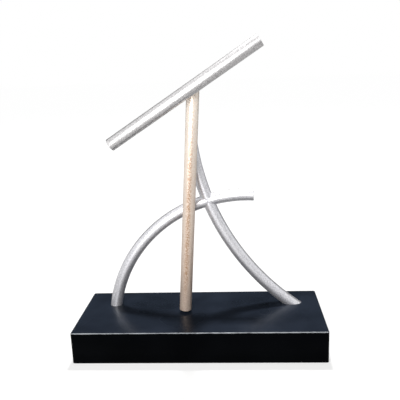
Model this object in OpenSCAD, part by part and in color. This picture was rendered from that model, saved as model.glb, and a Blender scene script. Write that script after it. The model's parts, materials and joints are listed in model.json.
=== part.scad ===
// Double pendulum desk toy: two tubes that turn end over end above a weighted base.
// Millimetres. X runs along the base, Y away from the viewer and Z up.
// The origin is the centre of the base's footprint, on the surface that it stands on.

/* [Base] */
// Length of the base along X
base_l = 300; // [270:1:340]
// Depth of the base along Y
base_w = 120; // [112:1:150]
// Height of the deck above the table
deck_z = 40; // [38:1:55]
// Height of the rubber feet
foot_h = 2; // [1.6:0.1:4]
// Diameter of the rubber feet
foot_d = 14; // [8:1:16]
// Height of the casing's rim above the table
rim_gap = 1.5; // [0.5:0.1:1.5]
// Thickness of the casing's side walls
wall_t = 3; // [2.6:0.1:4]
// Thickness of the deck
deck_t = 3.5; // [2.5:0.1:5]
// Radius of the casing's upright corners
corner_r = 2.5; // [2:0.1:4]
// Radius of the deck's edge
edge_r = 1.2; // [0.4:0.1:1.9]
// Thickness of the bottom plate
plate_t = 2.5; // [2.2:0.1:3.5]

/* [Tubes] */
// Outer diameter of the arms and of both sticks
tube_d = 15; // [14.6:0.1:17]
// Wall of the arms and sticks
tube_wall = 1.5; // [1.2:0.1:1.5]
// Width of the small bevel at each tube end
bevel = 0.4; // [0.1:0.1:0.8]

/* [Arms] */
// Distance of the arms' plane behind the centre of the base
arm_y = 23; // [21:0.5:30]
// Distance from the right end of the base to the middle of the tall arm's foot
tall_inset = 35; // [28:0.5:45]
// Bend radius of the tall arm
tall_bend_r = 310; // [260:1:400]
// Length of the tall arm above the main pivot
tall_over = 9.5; // [9:0.5:14]
// Distance from the left end of the base to the middle of the arch's foot
arch_inset = 38.5; // [34:0.5:50]
// Bend radius of the arch
arch_bend_r = 172.5; // [165:0.5:180]
// Height of the arch's crown above the deck
arch_h = 143; // [135:0.5:150]
// Place of the arch's cut end along X
arch_end_x = 69; // [55:0.5:80]

/* [Sticks] */
// Place of the main pivot along X
pivot_x = -4; // [-12:0.5:6]
// Height of the main pivot above the deck
pivot_h = 202; // [195:0.5:215]
// Gap between the arms and the long stick
long_gap = 9; // [8:0.5:12]
// Gap between the long stick and the short stick
short_gap = 5; // [4:0.5:9]
// Gap between the hanging long stick and the deck
sweep_gap = 2.4; // [1:0.1:6]
// Distance between the two pivots
pivot_span = 73.6; // [60:0.1:80]
// Length of the long stick above the upper pivot
long_over = 4.4; // [4.2:0.1:12]
// Length of the short stick on its long side
short_long = 113.8; // [90:0.1:118]
// Length of the short stick on its short side
short_short = 89.7; // [70:0.1:100]
// Lean of the long stick from upright
long_lean = 4.26; // [-8:0.01:8]
// Slope of the short stick
short_slope = 32.4; // [0:0.1:60]

/* [Pivots] */
// Diameter of both axles
axle_d = 3; // [2.5:0.1:3.2]
// Outer diameter of the ball bearings
bearing_d = 8; // [7.8:0.1:8.4]
// Width of one ball bearing
bearing_w = 4; // [3:0.1:4]
// Diameter of the bearing balls
ball_d = 1.5; // [1.2:0.05:1.6]
// Balls in each bearing
ball_count = 7; // [5:1:8]
// Length of the hubs and plugs inside the tubes
hub_l = 16; // [14:0.5:24]
// Diameter of the ring that closes each bearing seat
ring_d = 9; // [8.8:0.1:9.6]
// Diameter of the spacers between the tubes
spacer_d = 8; // [6:0.1:9]
// Gap between a spacer and the stick that turns beside it
run_gap = 0.8; // [0.4:0.1:1.2]
// Width across the flats of the dome nuts
nut_af = 5.5; // [5:0.1:6.5]
// Height of the dome nuts
nut_h = 4.6; // [4:0.1:5.5]

/* [Power] */
// Diameter of one battery cell
cell_d = 14.2; // [13.8:0.1:14.5]
// Length of one battery cell without its cap
cell_l = 49.2; // [47:0.1:50]
// Distance between neighbouring cells
cell_pitch = 15; // [14.8:0.1:16]
// Wall of the battery box
box_t = 1.4; // [1:0.1:2]
// Thickness of the battery door
door_t = 2; // [1.6:0.1:2.2]
// Travel of the power switch
switch_travel = 4; // [2:0.5:5]
// Place of the power switch along X
switch_x = 95; // [80:1:105]

/* [Drive] */
// Outer diameter of the coil winding
coil_d = 34; // [26:0.5:40]
// Height of the coil between its flanges
coil_h = 14; // [8:0.5:14]
// Diameter of the iron core
core_d = 8; // [6:0.5:10]
// Diameter of the magnet in the long stick
magnet_d = 9; // [6:0.5:9.5]
// Height of the magnet
magnet_h = 5; // [3:0.5:8]
// Length of the balance weight in the short stick
weight_l = 6.6; // [4:0.1:14]
// Length of the circuit board
board_l = 56; // [50:1:60]
// Width of the circuit board
board_w = 40; // [36:1:44]
// Thickness of the steel ballast plate
ballast_t = 4; // [3:0.5:6]

/* [Hidden] */
$fn = 96;

// Clearances that every fit takes its size from
push_fit = 0.05;
press_fit = 0.01;
loose_fit = 0.3;
far = 400;

// Levels inside the base, from the table up
plate_top = foot_h + plate_t;
ceiling_z = deck_z - deck_t;

// Radii of the tubes and of what fills them
tube_r = tube_d / 2;
bore_r = tube_r - tube_wall;
plug_r = bore_r - push_fit;

// Planes of the two sticks and heights of the pivots
long_y = arm_y - tube_d - long_gap;
short_y = long_y - tube_d - short_gap;
pivot_z = deck_z + pivot_h;
long_below = pivot_h - sweep_gap;
top_x = pivot_x + pivot_span * sin(long_lean);
top_z = pivot_z + pivot_span * cos(long_lean);

// Centres and angles of the two bent arms, in the XZ plane
tall_foot = [base_l / 2 - tall_inset, deck_z];
arch_foot = [arch_inset - base_l / 2, deck_z];
pivot = [pivot_x, pivot_z];
function angle_of(c, p) = let (a = atan2(p[1] - c[1], p[0] - c[0])) a < 0 ? a + 360 : a;
function arc_degrees(length, r) = length / r * 180 / PI;
function point_on(c, r, a) = [c[0] + r * cos(a), c[1] + r * sin(a)];
tall_half = norm(tall_foot - pivot) / 2;
tall_mid = (tall_foot + pivot) / 2;
tall_side = sqrt(tall_bend_r * tall_bend_r - tall_half * tall_half) / (2 * tall_half);
tall_c = tall_mid + tall_side * [tall_foot[1] - pivot[1], pivot[0] - tall_foot[0]] * -1;
arch_cz = deck_z + arch_h - arch_bend_r;
arch_c = [arch_foot[0] + sqrt(arch_bend_r * arch_bend_r - pow(deck_z - arch_cz, 2)), arch_cz];
tall_foot_a = angle_of(tall_c, tall_foot);
tall_pivot_a = angle_of(tall_c, pivot);
tall_top_a = tall_pivot_a - arc_degrees(tall_over, tall_bend_r);
arch_foot_a = angle_of(arch_c, arch_foot);
arch_end_a = acos((arch_end_x - arch_c[0]) / arch_bend_r);

// Where the centrelines of the two arms cross
centres = arch_c - tall_c;
centres_d = norm(centres);
to_chord = (centres_d * centres_d + tall_bend_r * tall_bend_r - arch_bend_r * arch_bend_r) / (2 * centres_d);
half_chord = sqrt(tall_bend_r * tall_bend_r - to_chord * to_chord);
cross_p = tall_c + to_chord / centres_d * centres + half_chord / centres_d * [centres[1], -centres[0]];
cross_arch_a = angle_of(arch_c, cross_p);
cross_tall_a = angle_of(tall_c, cross_p);

// Arm fixings
weld_gap = 0.05;
cap_l = 6;
foot_plug_l = 26;
stud_d = 4;
stud_l = 3 * tube_d - 4;
foot_screw_d = 4;
foot_screw_head_d = 7.5;
foot_screw_head_h = 3;
foot_washer_d = 11;
foot_washer_t = 1;
foot_boss_h = 6;
tall_screw_x = tall_foot[0] - 4;

// Parts of each pivot, along Y from the middle of the stick that turns
axle_head_d = axle_d + 1.6;
axle_head_h = 0.75;
inner_ring_r = axle_d / 2 + 0.8;
outer_ring_r = bearing_d / 2 - 0.7;
ball_path_r = (inner_ring_r + outer_ring_r) / 2;
groove_r = ball_d / 2 + 0.03;
shield_t = 0.3;
ring_t = 2.2;
ring_hole_d = axle_d + 2.4;
saddle_t = 1;
nose_d = 2 * inner_ring_r - 0.2;
nut_base_h = nut_h * 0.5;

// Screws of the base
plate_screw_d = 3;
plate_screw_head_d = 6;
plate_screw_l = 14;
plate_boss_d = 9;
small_screw_d = 2.4;
small_head_d = 4.6;
small_head_h = 1.4;
post_d = 6.5;
edge_inset = 8.5;
plate_screw_xs = [-base_l / 2 + wall_t + edge_inset, -pivot_x - 30, base_l / 2 - wall_t - edge_inset];
plate_screw_y = base_w / 2 - wall_t - edge_inset;

// Battery box
contact_t = 0.4;
contact_w = 10;
cap_d = 5.5;
cap_h = 1;
spring_gap = 4;
cell_count = 4;
tongue_t = 1.2;
tongue_h = 6;
box_x = -base_l / 2 + wall_t + 14;
bay_l = cell_l + cap_h + spring_gap + 2 * contact_t;
bay_w = (cell_count - 1) * cell_pitch + cell_d + 2 * (tongue_t + 2 * loose_fit);
cell_z = foot_h + door_t + loose_fit + cell_d / 2;
bay_top = cell_z + cell_d / 2 + loose_fit;
box_ear = 8;

// Coil under the lowest point of the long stick's swing
flange_t = 1.5;
flange_d = coil_d + 3;
coil_top = ceiling_z - flange_t;
coil_bottom = coil_top - coil_h;
drum_t = 1.2;
ear_x = flange_d / 2 + 5;

// Circuit board
board_t = 1.6;
board_z = ceiling_z - 13;
board_x = 38;
board_y = -46;
board_hole = 4;
cap_tall = 9;
capacitor_d = 8;
capacitor_pitch = 11;

// Ballast
ballast_x = 34;
ballast_end = base_l / 2 - wall_t - 20;
ballast_w = base_w - 2 * wall_t - 30;
ballast_hole = 8;

// Power switch in the rear wall
recess_t = 1.6;
switch_z = 21;
stem_w = 5;
stem_h = 4;
slot_w = stem_w + switch_travel + 0.6;
slot_h = stem_h + 0.6;
switch_w = slot_w + 10;
switch_h = 9;
switch_deep = 7;
switch_ear = 5;
rear_y = base_w / 2;
wall_y = rear_y - wall_t;
flange_w = stem_w + 2;
flange_h = stem_h + 1;

// Wires
wire_r = 0.8;
wire_sides = 8;

// Round bars along Y and Z
module y_rod(d, y0, y1) {
    translate([0, y1, 0]) rotate([90, 0, 0]) cylinder(d = d, h = y1 - y0);
}

module z_rod(d, z0, z1) {
    translate([0, 0, z0]) cylinder(d = d, h = z1 - z0);
}

// A round bar bent to an arc in the arms' plane
module arc_rod(c, bend_r, a0, a1, r) {
    translate([c[0], arm_y, c[1]])
        rotate([90, 0, 0]) rotate([0, 0, a0]) rotate_extrude(angle = a1 - a0)
            translate([bend_r, 0]) circle(r = r);
}

// Everything lower than the deck
module below_deck() {
    translate([-far, -far, deck_z - far]) cube([2 * far, 2 * far, far]);
}

// Frames of the moving sticks: local Z runs along the stick
module on_long() {
    translate([pivot_x, long_y, pivot_z]) rotate([0, long_lean, 0]) children();
}

module on_long_top() {
    on_long() translate([0, 0, pivot_span]) children();
}

module on_short() {
    translate([top_x, short_y, top_z]) rotate([0, 90 - short_slope, 0]) children();
}

// A straight tube with small bevels at both ends
module straight_tube(z0, z1) {
    rotate_extrude() polygon([
        [bore_r, z0], [tube_r - bevel, z0], [tube_r, z0 + bevel],
        [tube_r, z1 - bevel], [tube_r - bevel, z1], [bore_r, z1]
    ]);
}

// A plug inside a straight tube, with a bevelled outer end at z1
module end_plug(z0, z1) {
    z_rod(2 * plug_r, z0, z1 - bevel);
    translate([0, 0, z1 - bevel]) cylinder(r1 = plug_r, r2 = plug_r - bevel, h = bevel);
}

// Seat for two bearings, open at the back and closed at the front
module bearing_seat() {
    y_rod(bearing_d + 2 * press_fit, -bearing_w, tube_r + 1);
    y_rod(axle_head_d + 1, -bearing_w - axle_head_h - 0.4, 0);
    y_rod(ring_d + 2 * press_fit, bearing_w, tube_r + 1);
}

module hub() {
    difference() {
        z_rod(2 * plug_r, -hub_l / 2, hub_l / 2);
        bearing_seat();
    }
}

// Ring section about Z between two radii, turned to lie along Y
module y_ring(r0, r1, y0, y1) {
    difference() {
        y_rod(2 * r1, y0, y1);
        y_rod(2 * r0, y0 - 1, y1 + 1);
    }
}

module ball_groove(y) {
    translate([0, y, 0]) rotate([90, 0, 0]) rotate_extrude() translate([ball_path_r, 0]) circle(r = groove_r);
}

bearing_ys = [-bearing_w / 2, bearing_w / 2];

ring_half = bearing_w / 2 - press_fit;

// Inner rings and balls of a pair of bearings
module bearing_inner() {
    for (y = bearing_ys) {
        difference() {
            y_ring(axle_d / 2 + press_fit, inner_ring_r, y - ring_half, y + ring_half);
            ball_groove(y);
        }
        for (i = [0:ball_count - 1])
            rotate([0, i * 360 / ball_count, 0]) translate([ball_path_r, y, 0]) sphere(d = ball_d, $fn = 32);
    }
}

// Outer rings of the same pair, with a thin shield on each side
module bearing_outer() {
    for (y = bearing_ys) {
        difference() {
            y_ring(outer_ring_r, bearing_d / 2, y - ring_half, y + ring_half);
            ball_groove(y);
        }
        for (side = [-1, 1])
            translate([0, y + side * (bearing_w / 2 - shield_t), 0])
                y_ring(inner_ring_r + 0.1, outer_ring_r, -shield_t / 2, shield_t / 2);
    }
}

module closing_ring() {
    y_ring(ring_hole_d / 2, ring_d / 2, bearing_w, bearing_w + ring_t);
}

// Axle of one pivot: gap is the distance between the two tubes that it joins
module axle(gap) {
    y_rod(axle_head_d, -bearing_w - axle_head_h, -bearing_w);
    y_rod(axle_d, -bearing_w - axle_head_h, tube_r + gap + tube_d + saddle_t + nut_h - 1);
}

// Spacer from the inner bearing ring to the tube that carries the axle
module spacer(gap) {
    difference() {
        union() {
            y_rod(nose_d, bearing_w, tube_r + run_gap + 0.5);
            y_rod(spacer_d, tube_r + run_gap, tube_r + gap + tube_wall);
        }
        y_rod(axle_d + 2 * press_fit, 0, tube_r + gap + tube_d);
    }
}

// Washer shaped to the back of the tube that carries the axle
module saddle(gap) {
    back = tube_r + gap + tube_d;
    difference() {
        y_rod(spacer_d, back - tube_wall, back + saddle_t);
        y_rod(axle_d + 2 * push_fit, 0, back + tube_r);
    }
}

module dome_nut(gap) {
    base = tube_r + gap + tube_d + saddle_t;
    dome_r = nut_af / 2 - 0.2;
    difference() {
        union() {
            translate([0, base + nut_base_h, 0]) rotate([90, 0, 0])
                cylinder(d = nut_af / cos(30), h = nut_base_h, $fn = 6);
            y_rod(2 * dome_r, base, base + nut_h - dome_r);
            translate([0, base + nut_h - dome_r, 0]) sphere(r = dome_r);
        }
        y_rod(axle_d + 2 * press_fit, 0, base + nut_h - 0.8);
    }
}

// Pan-head screw: its head's underside is at the origin and its shank runs along +Z
module small_screw(length) {
    z_rod(small_screw_d, 0, length);
    difference() {
        z_rod(small_head_d, -small_head_h, 0);
        translate([-small_head_d, -0.3, -small_head_h - 1]) cube([2 * small_head_d, 0.6, 1.5]);
    }
}

// Smooth route through hand-chosen points, and a tube swept along it
function smooth_at(a, b, c, d, t) =
    0.5 * (2 * b + (c - a) * t + (2 * a - 5 * b + 4 * c - d) * t * t + (3 * b - a - 3 * c + d) * t * t * t);
function pick(points, i) = points[max(0, min(len(points) - 1, i))];
function smooth_route(points, steps) = [
    for (i = [0:len(points) - 2]) for (s = [0:steps - 1])
        smooth_at(pick(points, i - 1), pick(points, i), pick(points, i + 1), pick(points, i + 2), s / steps),
    points[len(points) - 1]
];
function unit(v) = v / norm(v);
function heading(route, i) = unit(pick(route, i + 1) - pick(route, i - 1));
function side_of(h) = unit(cross(h, abs(h[2]) > 0.8 ? [0, 1, 0] : [0, 0, 1]));

module sweep(route, r, sides) {
    count = len(route);
    rings = [
        for (i = [0:count - 1])
            let (h = heading(route, i), u = side_of(h), v = cross(h, u))
                for (k = [0:sides - 1])
                    route[i] + r * (cos(k * 360 / sides) * u + sin(k * 360 / sides) * v)
    ];
    walls = [
        for (i = [0:count - 2]) for (k = [0:sides - 1])
            let (n = (k + 1) % sides)
                [i * sides + k, i * sides + n, (i + 1) * sides + n, (i + 1) * sides + k]
    ];
    polyhedron(
        points = rings,
        faces = concat(
            [[for (k = [sides - 1:-1:0]) k]],
            walls,
            [[for (k = [0:sides - 1]) (count - 1) * sides + k]]
        )
    );
}

// Casing
module base_shell() {
    color([0.09, 0.11, 0.13]) {
        difference() {
            union() {
                difference() {
                    shell_outside();
                    translate([wall_t - base_l / 2, wall_t - base_w / 2, rim_gap - 1])
                        cube([base_l - 2 * wall_t, base_w - 2 * wall_t, ceiling_z - rim_gap + 1]);
                }
                shell_bosses();
            }
            for (x = plate_screw_xs) for (side = [-1, 1])
                translate([x, side * plate_screw_y, 0])
                    z_rod(plate_screw_d - 0.2, plate_top - 1, foot_h + plate_screw_l + 1);
            for (foot = foot_screw_places)
                translate([foot, arm_y, 0]) z_rod(foot_screw_d + 2 * loose_fit, 0, deck_z + 1);
            for (p = concat(ear_places, board_hole_places))
                translate([p[0], p[1], 0]) z_rod(small_screw_d + 2 * press_fit, p[2] - 1, p[2] + 8);
            switch_cutout();
        }
    }
}

module shell_outside() {
    hull() for (sx = [-1, 1]) for (sy = [-1, 1])
        translate([sx * (base_l / 2 - corner_r), sy * (base_w / 2 - corner_r), 0]) {
            translate([0, 0, rim_gap]) cylinder(r = corner_r, h = 1, $fn = 32);
            translate([0, 0, deck_z - edge_r])
                rotate_extrude($fn = 32) translate([corner_r - edge_r, 0]) circle(r = edge_r, $fn = 32);
        }
}

// Bosses and ribs under the deck, each one carrying a screw
foot_screw_places = [arch_foot[0], tall_screw_x];
ear_places = [for (side = [-1, 1]) [pivot_x + side * ear_x, long_y, coil_bottom]];
board_hole_places = [
    for (x = [board_hole, board_l - board_hole]) for (y = [board_hole, board_w - board_hole])
        [board_x + x, board_y + y, board_z + board_t]
];

module shell_bosses() {
    for (x = plate_screw_xs) for (side = [-1, 1])
        translate([x, side * plate_screw_y, 0]) {
            z_rod(plate_boss_d, plate_top, ceiling_z + 1);
            translate([-1, side > 0 ? 0 : -edge_inset - 1, plate_top])
                cube([2, edge_inset + 1, ceiling_z - plate_top + 1]);
        }
    for (foot = foot_screw_places)
        translate([foot, arm_y, 0]) z_rod(foot_washer_d + 2, ceiling_z - foot_boss_h, ceiling_z + 1);
    for (p = concat(ear_places, board_hole_places))
        translate([p[0], p[1], 0]) z_rod(post_d, p[2], ceiling_z + 1);
    for (x = [box_x + bay_l + 22, board_x - 10])
        translate([x, -base_w / 2 + 1, ceiling_z - 4]) cube([2, base_w - 2, 5]);
}

module switch_cutout() {
    translate([switch_x - switch_w / 2 - switch_ear - 2, rear_y - recess_t, switch_z - switch_h / 2 - 1.5])
        cube([switch_w + 2 * switch_ear + 4, recess_t + 1, switch_h + 3]);
    translate([switch_x - slot_w / 2, wall_y - 1, switch_z - slot_h / 2])
        cube([slot_w, wall_t + 2, slot_h]);
    for (side = [-1, 1])
        translate([switch_x + side * (switch_w + switch_ear) / 2, 0, switch_z])
            y_rod(small_screw_d + 2 * push_fit, wall_y - 1, rear_y + 1);
}

module bottom_plate() {
    plate_l = base_l - 2 * wall_t - 2 * loose_fit;
    plate_w = base_w - 2 * wall_t - 2 * loose_fit;
    color([0.12, 0.12, 0.13])
    difference() {
        translate([-plate_l / 2, -plate_w / 2, foot_h]) cube([plate_l, plate_w, plate_t]);
        translate([box_x, -bay_w / 2, foot_h - 1]) cube([bay_l, bay_w, plate_t + 2]);
        for (x = plate_screw_xs) for (side = [-1, 1])
            translate([x, side * plate_screw_y, 0]) {
                z_rod(plate_screw_d + 2 * push_fit, 0, plate_top + 1);
                translate([0, 0, foot_h - push_fit])
                    cylinder(d1 = plate_screw_head_d + 0.2, d2 = plate_screw_d, h = 1.7);
            }
        for (p = down_screw_places)
            translate([p[0], p[1], 0]) z_rod(small_screw_d + 2 * press_fit, plate_top - 2, plate_top + 1);
    }
}

module battery_door() {
    gap = loose_fit;
    color([0.14, 0.14, 0.15]) difference() {
        union() {
            translate([box_x + gap, gap - bay_w / 2, foot_h]) cube([bay_l - 2 * gap, bay_w - 2 * gap, door_t]);
            for (side = [-1, 1])
                translate([box_x + bay_l / 2 - 8, side * (bay_w / 2 - gap - tongue_t / 2) - tongue_t / 2, foot_h])
                    cube([16, tongue_t, door_t + tongue_h]);
        }
        for (i = [0:4])
            translate([box_x + 6 + i * 2.4, -8, foot_h - 1]) cube([1.2, 16, 1.5]);
    }
}

foot_places = [
    for (x = [24 - base_l / 2, base_l / 2 - 24]) for (y = [15 - base_w / 2, base_w / 2 - 15]) [x, y]
];

module rubber_feet() {
    color([0.05, 0.05, 0.05]) for (p = foot_places)
        translate([p[0], p[1], 0]) cylinder(d1 = foot_d - 1, d2 = foot_d, h = foot_h);
}

module plate_screws() {
    color([0.5, 0.5, 0.52]) for (x = plate_screw_xs) for (side = [-1, 1])
        translate([x, side * plate_screw_y, foot_h]) difference() {
            union() {
                cylinder(d1 = plate_screw_head_d, d2 = plate_screw_d - 0.2, h = 1.7);
                z_rod(plate_screw_d - 0.25, 1, plate_screw_l);
            }
            for (turn = [0, 90]) rotate(turn) translate([-1.8, -0.35, -1]) cube([3.6, 0.7, 2]);
        }
}

down_screw_places = concat(
    [for (x = [ballast_x + ballast_hole, ballast_end - ballast_hole])
        for (side = [-1, 1]) [x, side * (ballast_w / 2 - ballast_hole), plate_top + ballast_t]],
    [for (x = [box_x - box_ear / 2 - box_t, box_x + bay_l + box_t + box_ear / 2]) [x, 0, plate_top + 2]]
);

module ballast_plate() {
    color([0.45, 0.46, 0.48]) difference() {
        translate([ballast_x, -ballast_w / 2, plate_top]) cube([ballast_end - ballast_x, ballast_w, ballast_t]);
        for (p = down_screw_places) translate([p[0], p[1], 0]) z_rod(small_screw_d + 0.4, 0, p[2] + 1);
    }
}

// Power
module battery_box() {
    outer_l = bay_l + 2 * box_t;
    color([0.16, 0.16, 0.17]) difference() {
        union() {
            translate([box_x - box_t, -bay_w / 2 - box_t, plate_top])
                cube([outer_l, bay_w + 2 * box_t, bay_top + box_t - plate_top]);
            translate([box_x - box_t - box_ear, -box_ear / 2, plate_top])
                cube([outer_l + 2 * box_ear, box_ear, 2]);
        }
        translate([box_x, -bay_w / 2, 0]) cube([bay_l, bay_w, bay_top]);
        for (p = down_screw_places) translate([p[0], p[1], 0]) z_rod(small_screw_d + 0.4, 0, plate_top + 3);
        for (side = [-1, 1])
            translate([box_x + bay_l - 1, side * 20 - 1.2, cell_z + 1]) cube([box_t + 2, 2.4, 2.4]);
    }
}

// Each cell's place: its middle line and the end that its cap points to
cells = [for (i = [0:cell_count - 1]) [(i - (cell_count - 1) / 2) * cell_pitch, i % 2 == 0 ? 1 : -1]];
bay_middle = box_x + bay_l / 2;
cell_half = (bay_l / 2) - contact_t;

module at_cell(c) {
    translate([bay_middle, c[0], cell_z]) rotate([0, c[1] > 0 ? 90 : -90, 0]) children();
}

module battery_cells() {
    color([0.2, 0.25, 0.3]) for (c = cells) at_cell(c) {
        z_rod(cell_d, cell_half - cap_h - cell_l, cell_half - cap_h);
        z_rod(cap_d, cell_half - cap_h - 0.5, cell_half);
    }
}

module contact_springs() {
    turns = 3;
    steps = 12;
    wire = 0.35;
    pitch = (spring_gap - 2 * wire) / turns;
    color([0.7, 0.7, 0.7]) for (c = cells) at_cell(c)
        sweep([
            for (i = [0:turns * steps])
                let (a = i * 360 / steps, r = 4.2 - 1.9 * i / (turns * steps))
                    [r * cos(a), r * sin(a), wire - cell_half + pitch * i / steps]
        ], wire, 6);
}

module contact_plates() {
    color([0.75, 0.75, 0.72]) for (c = cells) at_cell(c) for (end = [-1, 1])
        translate([-contact_w / 2, -contact_w / 2, end > 0 ? cell_half : -cell_half - contact_t])
            cube([contact_w, contact_w, contact_t]);
}

// A lead follows points chosen by hand; the drive parts at its ends set its first and last point
lead_apart = 20;
lead_in = [box_x + bay_l + box_t, cell_z + 2.2];
lead_out_z = board_z - wire_r;

module battery_leads() {
    color([0.6, 0.1, 0.1]) for (side = [-1, 1])
        sweep(smooth_route([
            [lead_in[0] - box_t + push_fit, side * lead_apart, lead_in[1]],
            [lead_in[0], side * lead_apart, lead_in[1]],
            [lead_in[0] + 4, side * lead_apart, lead_in[1]],
            [-54, side * 14 - 8, 10],
            [-38, side * 5 - 34, 8],
            [-10, side * 4 - 40, 8],
            [14, side * 3 - 38, 10],
            [board_x - 2, board_y + 20 + side * 3, 15],
            [board_x + 8, board_y + 20 + side * 3, lead_out_z]
        ], 4), wire_r, wire_sides);
}

module coil_leads() {
    coil_r = coil_d / 2;
    out = [cos(50), -sin(50)];
    start = [pivot_x, long_y] + (coil_r + 0.5) * out;
    past = [pivot_x, long_y] + (flange_d / 2 + 3) * out;
    color([0.75, 0.4, 0.2]) for (side = [-1, 1])
        sweep(smooth_route([
            [start[0] + side * 1.5, start[1] + side * 1.5, coil_bottom + 4],
            [past[0] + side * 1.5, past[1] + side * 1.5, coil_bottom + 3],
            [board_x - 10, board_y + board_w / 2 + side * 2, coil_bottom],
            [board_x + 6, board_y + board_w / 2 + side * 2, lead_out_z]
        ], 4), wire_r * 0.6, wire_sides);
}

module switch_leads() {
    start_y = wall_y - switch_deep;
    color([0.15, 0.15, 0.5]) for (side = [-1, 1])
        sweep(smooth_route([
            [switch_x + side * 3, start_y - wire_r, switch_z],
            [switch_x + side * 3 - 1, start_y - 6, switch_z - 3],
            [switch_x + side * 3 - 4, start_y - 20, 14],
            [board_x + board_l - 8 + side * 3, board_y + board_w + 10, 13],
            [board_x + board_l - 12 + side * 3, board_y + board_w - 8, lead_out_z]
        ], 4), wire_r, wire_sides);
}

module switch_body() {
    ear_t = 2;
    color([0.1, 0.1, 0.1]) difference() {
        union() {
            translate([switch_x - switch_w / 2, wall_y - switch_deep, switch_z - switch_h / 2])
                cube([switch_w, switch_deep, switch_h]);
            translate([switch_x - switch_w / 2 - switch_ear, wall_y - ear_t, switch_z - switch_h / 2])
                cube([switch_w + 2 * switch_ear, ear_t, switch_h]);
        }
        translate([switch_x - slot_w / 2, wall_y - 3, switch_z - slot_h / 2]) cube([slot_w, 4, slot_h]);
        translate([switch_x - slot_w / 2 - 1, wall_y - 5, switch_z - flange_h / 2 - loose_fit])
            cube([slot_w + 2, 3, flange_h + 2 * loose_fit]);
        for (side = [-1, 1])
            translate([switch_x + side * (switch_w + switch_ear) / 2, 0, switch_z])
                y_rod(small_screw_d + 2 * press_fit, wall_y - ear_t - 1, wall_y + 1);
    }
}

module switch_slider() {
    slider_x = switch_x - switch_travel / 2;
    tip_y = rear_y - 0.3;
    color([0.75, 0.12, 0.1]) difference() {
        union() {
            translate([slider_x - stem_w / 2, wall_y - 4, switch_z - stem_h / 2])
                cube([stem_w, tip_y - wall_y + 4, stem_h]);
            translate([slider_x - flange_w / 2, wall_y - 4.4, switch_z - flange_h / 2])
                cube([flange_w, 1.8, flange_h]);
        }
        for (i = [-1:1])
            translate([slider_x + i * 1.4 - 0.3, tip_y - 0.5, switch_z - stem_h]) cube([0.6, 1, 2 * stem_h]);
    }
}

// Every small screw inside the base: coil ears, board corners, ballast, battery box and switch
module inner_screws() {
    color([0.6, 0.6, 0.6]) {
        for (p = ear_places) translate([p[0], p[1], p[2] - flange_t]) small_screw(7);
        for (p = board_hole_places) translate([p[0], p[1], p[2] - board_t]) small_screw(6);
        for (p = down_screw_places)
            translate(p) rotate([180, 0, 0]) small_screw(p[2] - plate_top + 1.8);
        for (side = [-1, 1])
            translate([switch_x + side * (switch_w + switch_ear) / 2, rear_y - recess_t, switch_z])
                rotate([90, 0, 0]) small_screw(wall_t - recess_t + 2);
    }
}

// Drive
module coil_bobbin() {
    flange_z = coil_bottom - flange_t;
    color([0.85, 0.83, 0.75]) translate([pivot_x, long_y, 0]) difference() {
        union() {
            z_rod(flange_d, coil_top, coil_top + flange_t);
            z_rod(flange_d, flange_z, coil_bottom);
            z_rod(core_d + 2 * drum_t, flange_z, coil_top + flange_t);
            translate([-ear_x, -post_d / 2, flange_z]) cube([2 * ear_x, post_d, flange_t]);
            for (side = [-1, 1]) translate([side * ear_x, 0, 0]) z_rod(post_d, flange_z, coil_bottom);
        }
        z_rod(core_d + 2 * push_fit, 0, deck_z);
        for (side = [-1, 1])
            translate([side * ear_x, 0, 0]) z_rod(small_screw_d + 0.4, 0, deck_z);
    }
}

module coil_winding() {
    color([0.72, 0.4, 0.2]) translate([pivot_x, long_y, 0]) difference() {
        z_rod(coil_d, coil_bottom, coil_top);
        z_rod(core_d + 2 * drum_t + 2 * push_fit, 0, deck_z);
    }
}

module coil_core() {
    color([0.5, 0.5, 0.52]) translate([pivot_x, long_y, 0]) {
        z_rod(core_d, coil_bottom - flange_t, ceiling_z);
        z_rod(core_d + 4, coil_bottom - flange_t - 1.5, coil_bottom - flange_t);
    }
}

module circuit_board() {
    color([0.1, 0.35, 0.2]) difference() {
        translate([board_x, board_y, board_z]) cube([board_l, board_w, board_t]);
        for (p = board_hole_places) translate([p[0], p[1], 0]) z_rod(small_screw_d + 0.4, 0, deck_z);
    }
}

module board_components() {
    top = board_z + board_t;
    color([0.15, 0.15, 0.16]) translate([board_x, board_y, top]) {
        for (x = [0, capacitor_pitch]) translate([2 * capacitor_d + x, 1.5 * capacitor_d, 0])
            z_rod(capacitor_d, 0, cap_tall);
        translate([20, 22, 0]) cube([6, 5, 1.6]);
        translate([30, 21, 0]) cube([5, 4, 6]);
        for (i = [0:2]) translate([12 + 9 * i, 32, 0]) cube([6, 2, 2]);
        translate([board_l - 18, 12, 0]) cube([8, 6, 6]);
        translate([board_l - 18, 22, 0]) cube([6, 8, 5]);
    }
}

// Arms
module stud_hole(d) {
    translate([cross_p[0], arm_y, cross_p[1]]) rotate([0, 90 - (cross_arch_a - 90), 0])
        z_rod(d, -stud_l / 2 - 1, stud_l / 2 + 1);
}

module tall_arm() {
    color([0.78, 0.78, 0.8]) difference() {
        arc_rod(tall_c, tall_bend_r, tall_top_a, tall_foot_a + 5, tube_r);
        arc_rod(tall_c, tall_bend_r, tall_top_a - 1, tall_foot_a + 6, bore_r);
        below_deck();
        at_pivot_on_arm() y_rod(axle_d + 2 * push_fit, -tube_d, tube_d);
        stud_hole(stud_d + 2 * push_fit);
    }
}

module at_pivot_on_arm() {
    translate([pivot_x, arm_y, pivot_z]) children();
}

module tall_arm_cap() {
    cap_a = arc_degrees(cap_l, tall_bend_r);
    color([0.74, 0.74, 0.76]) arc_rod(tall_c, tall_bend_r, tall_top_a + 0.03, tall_top_a + cap_a, plug_r);
}

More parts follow.
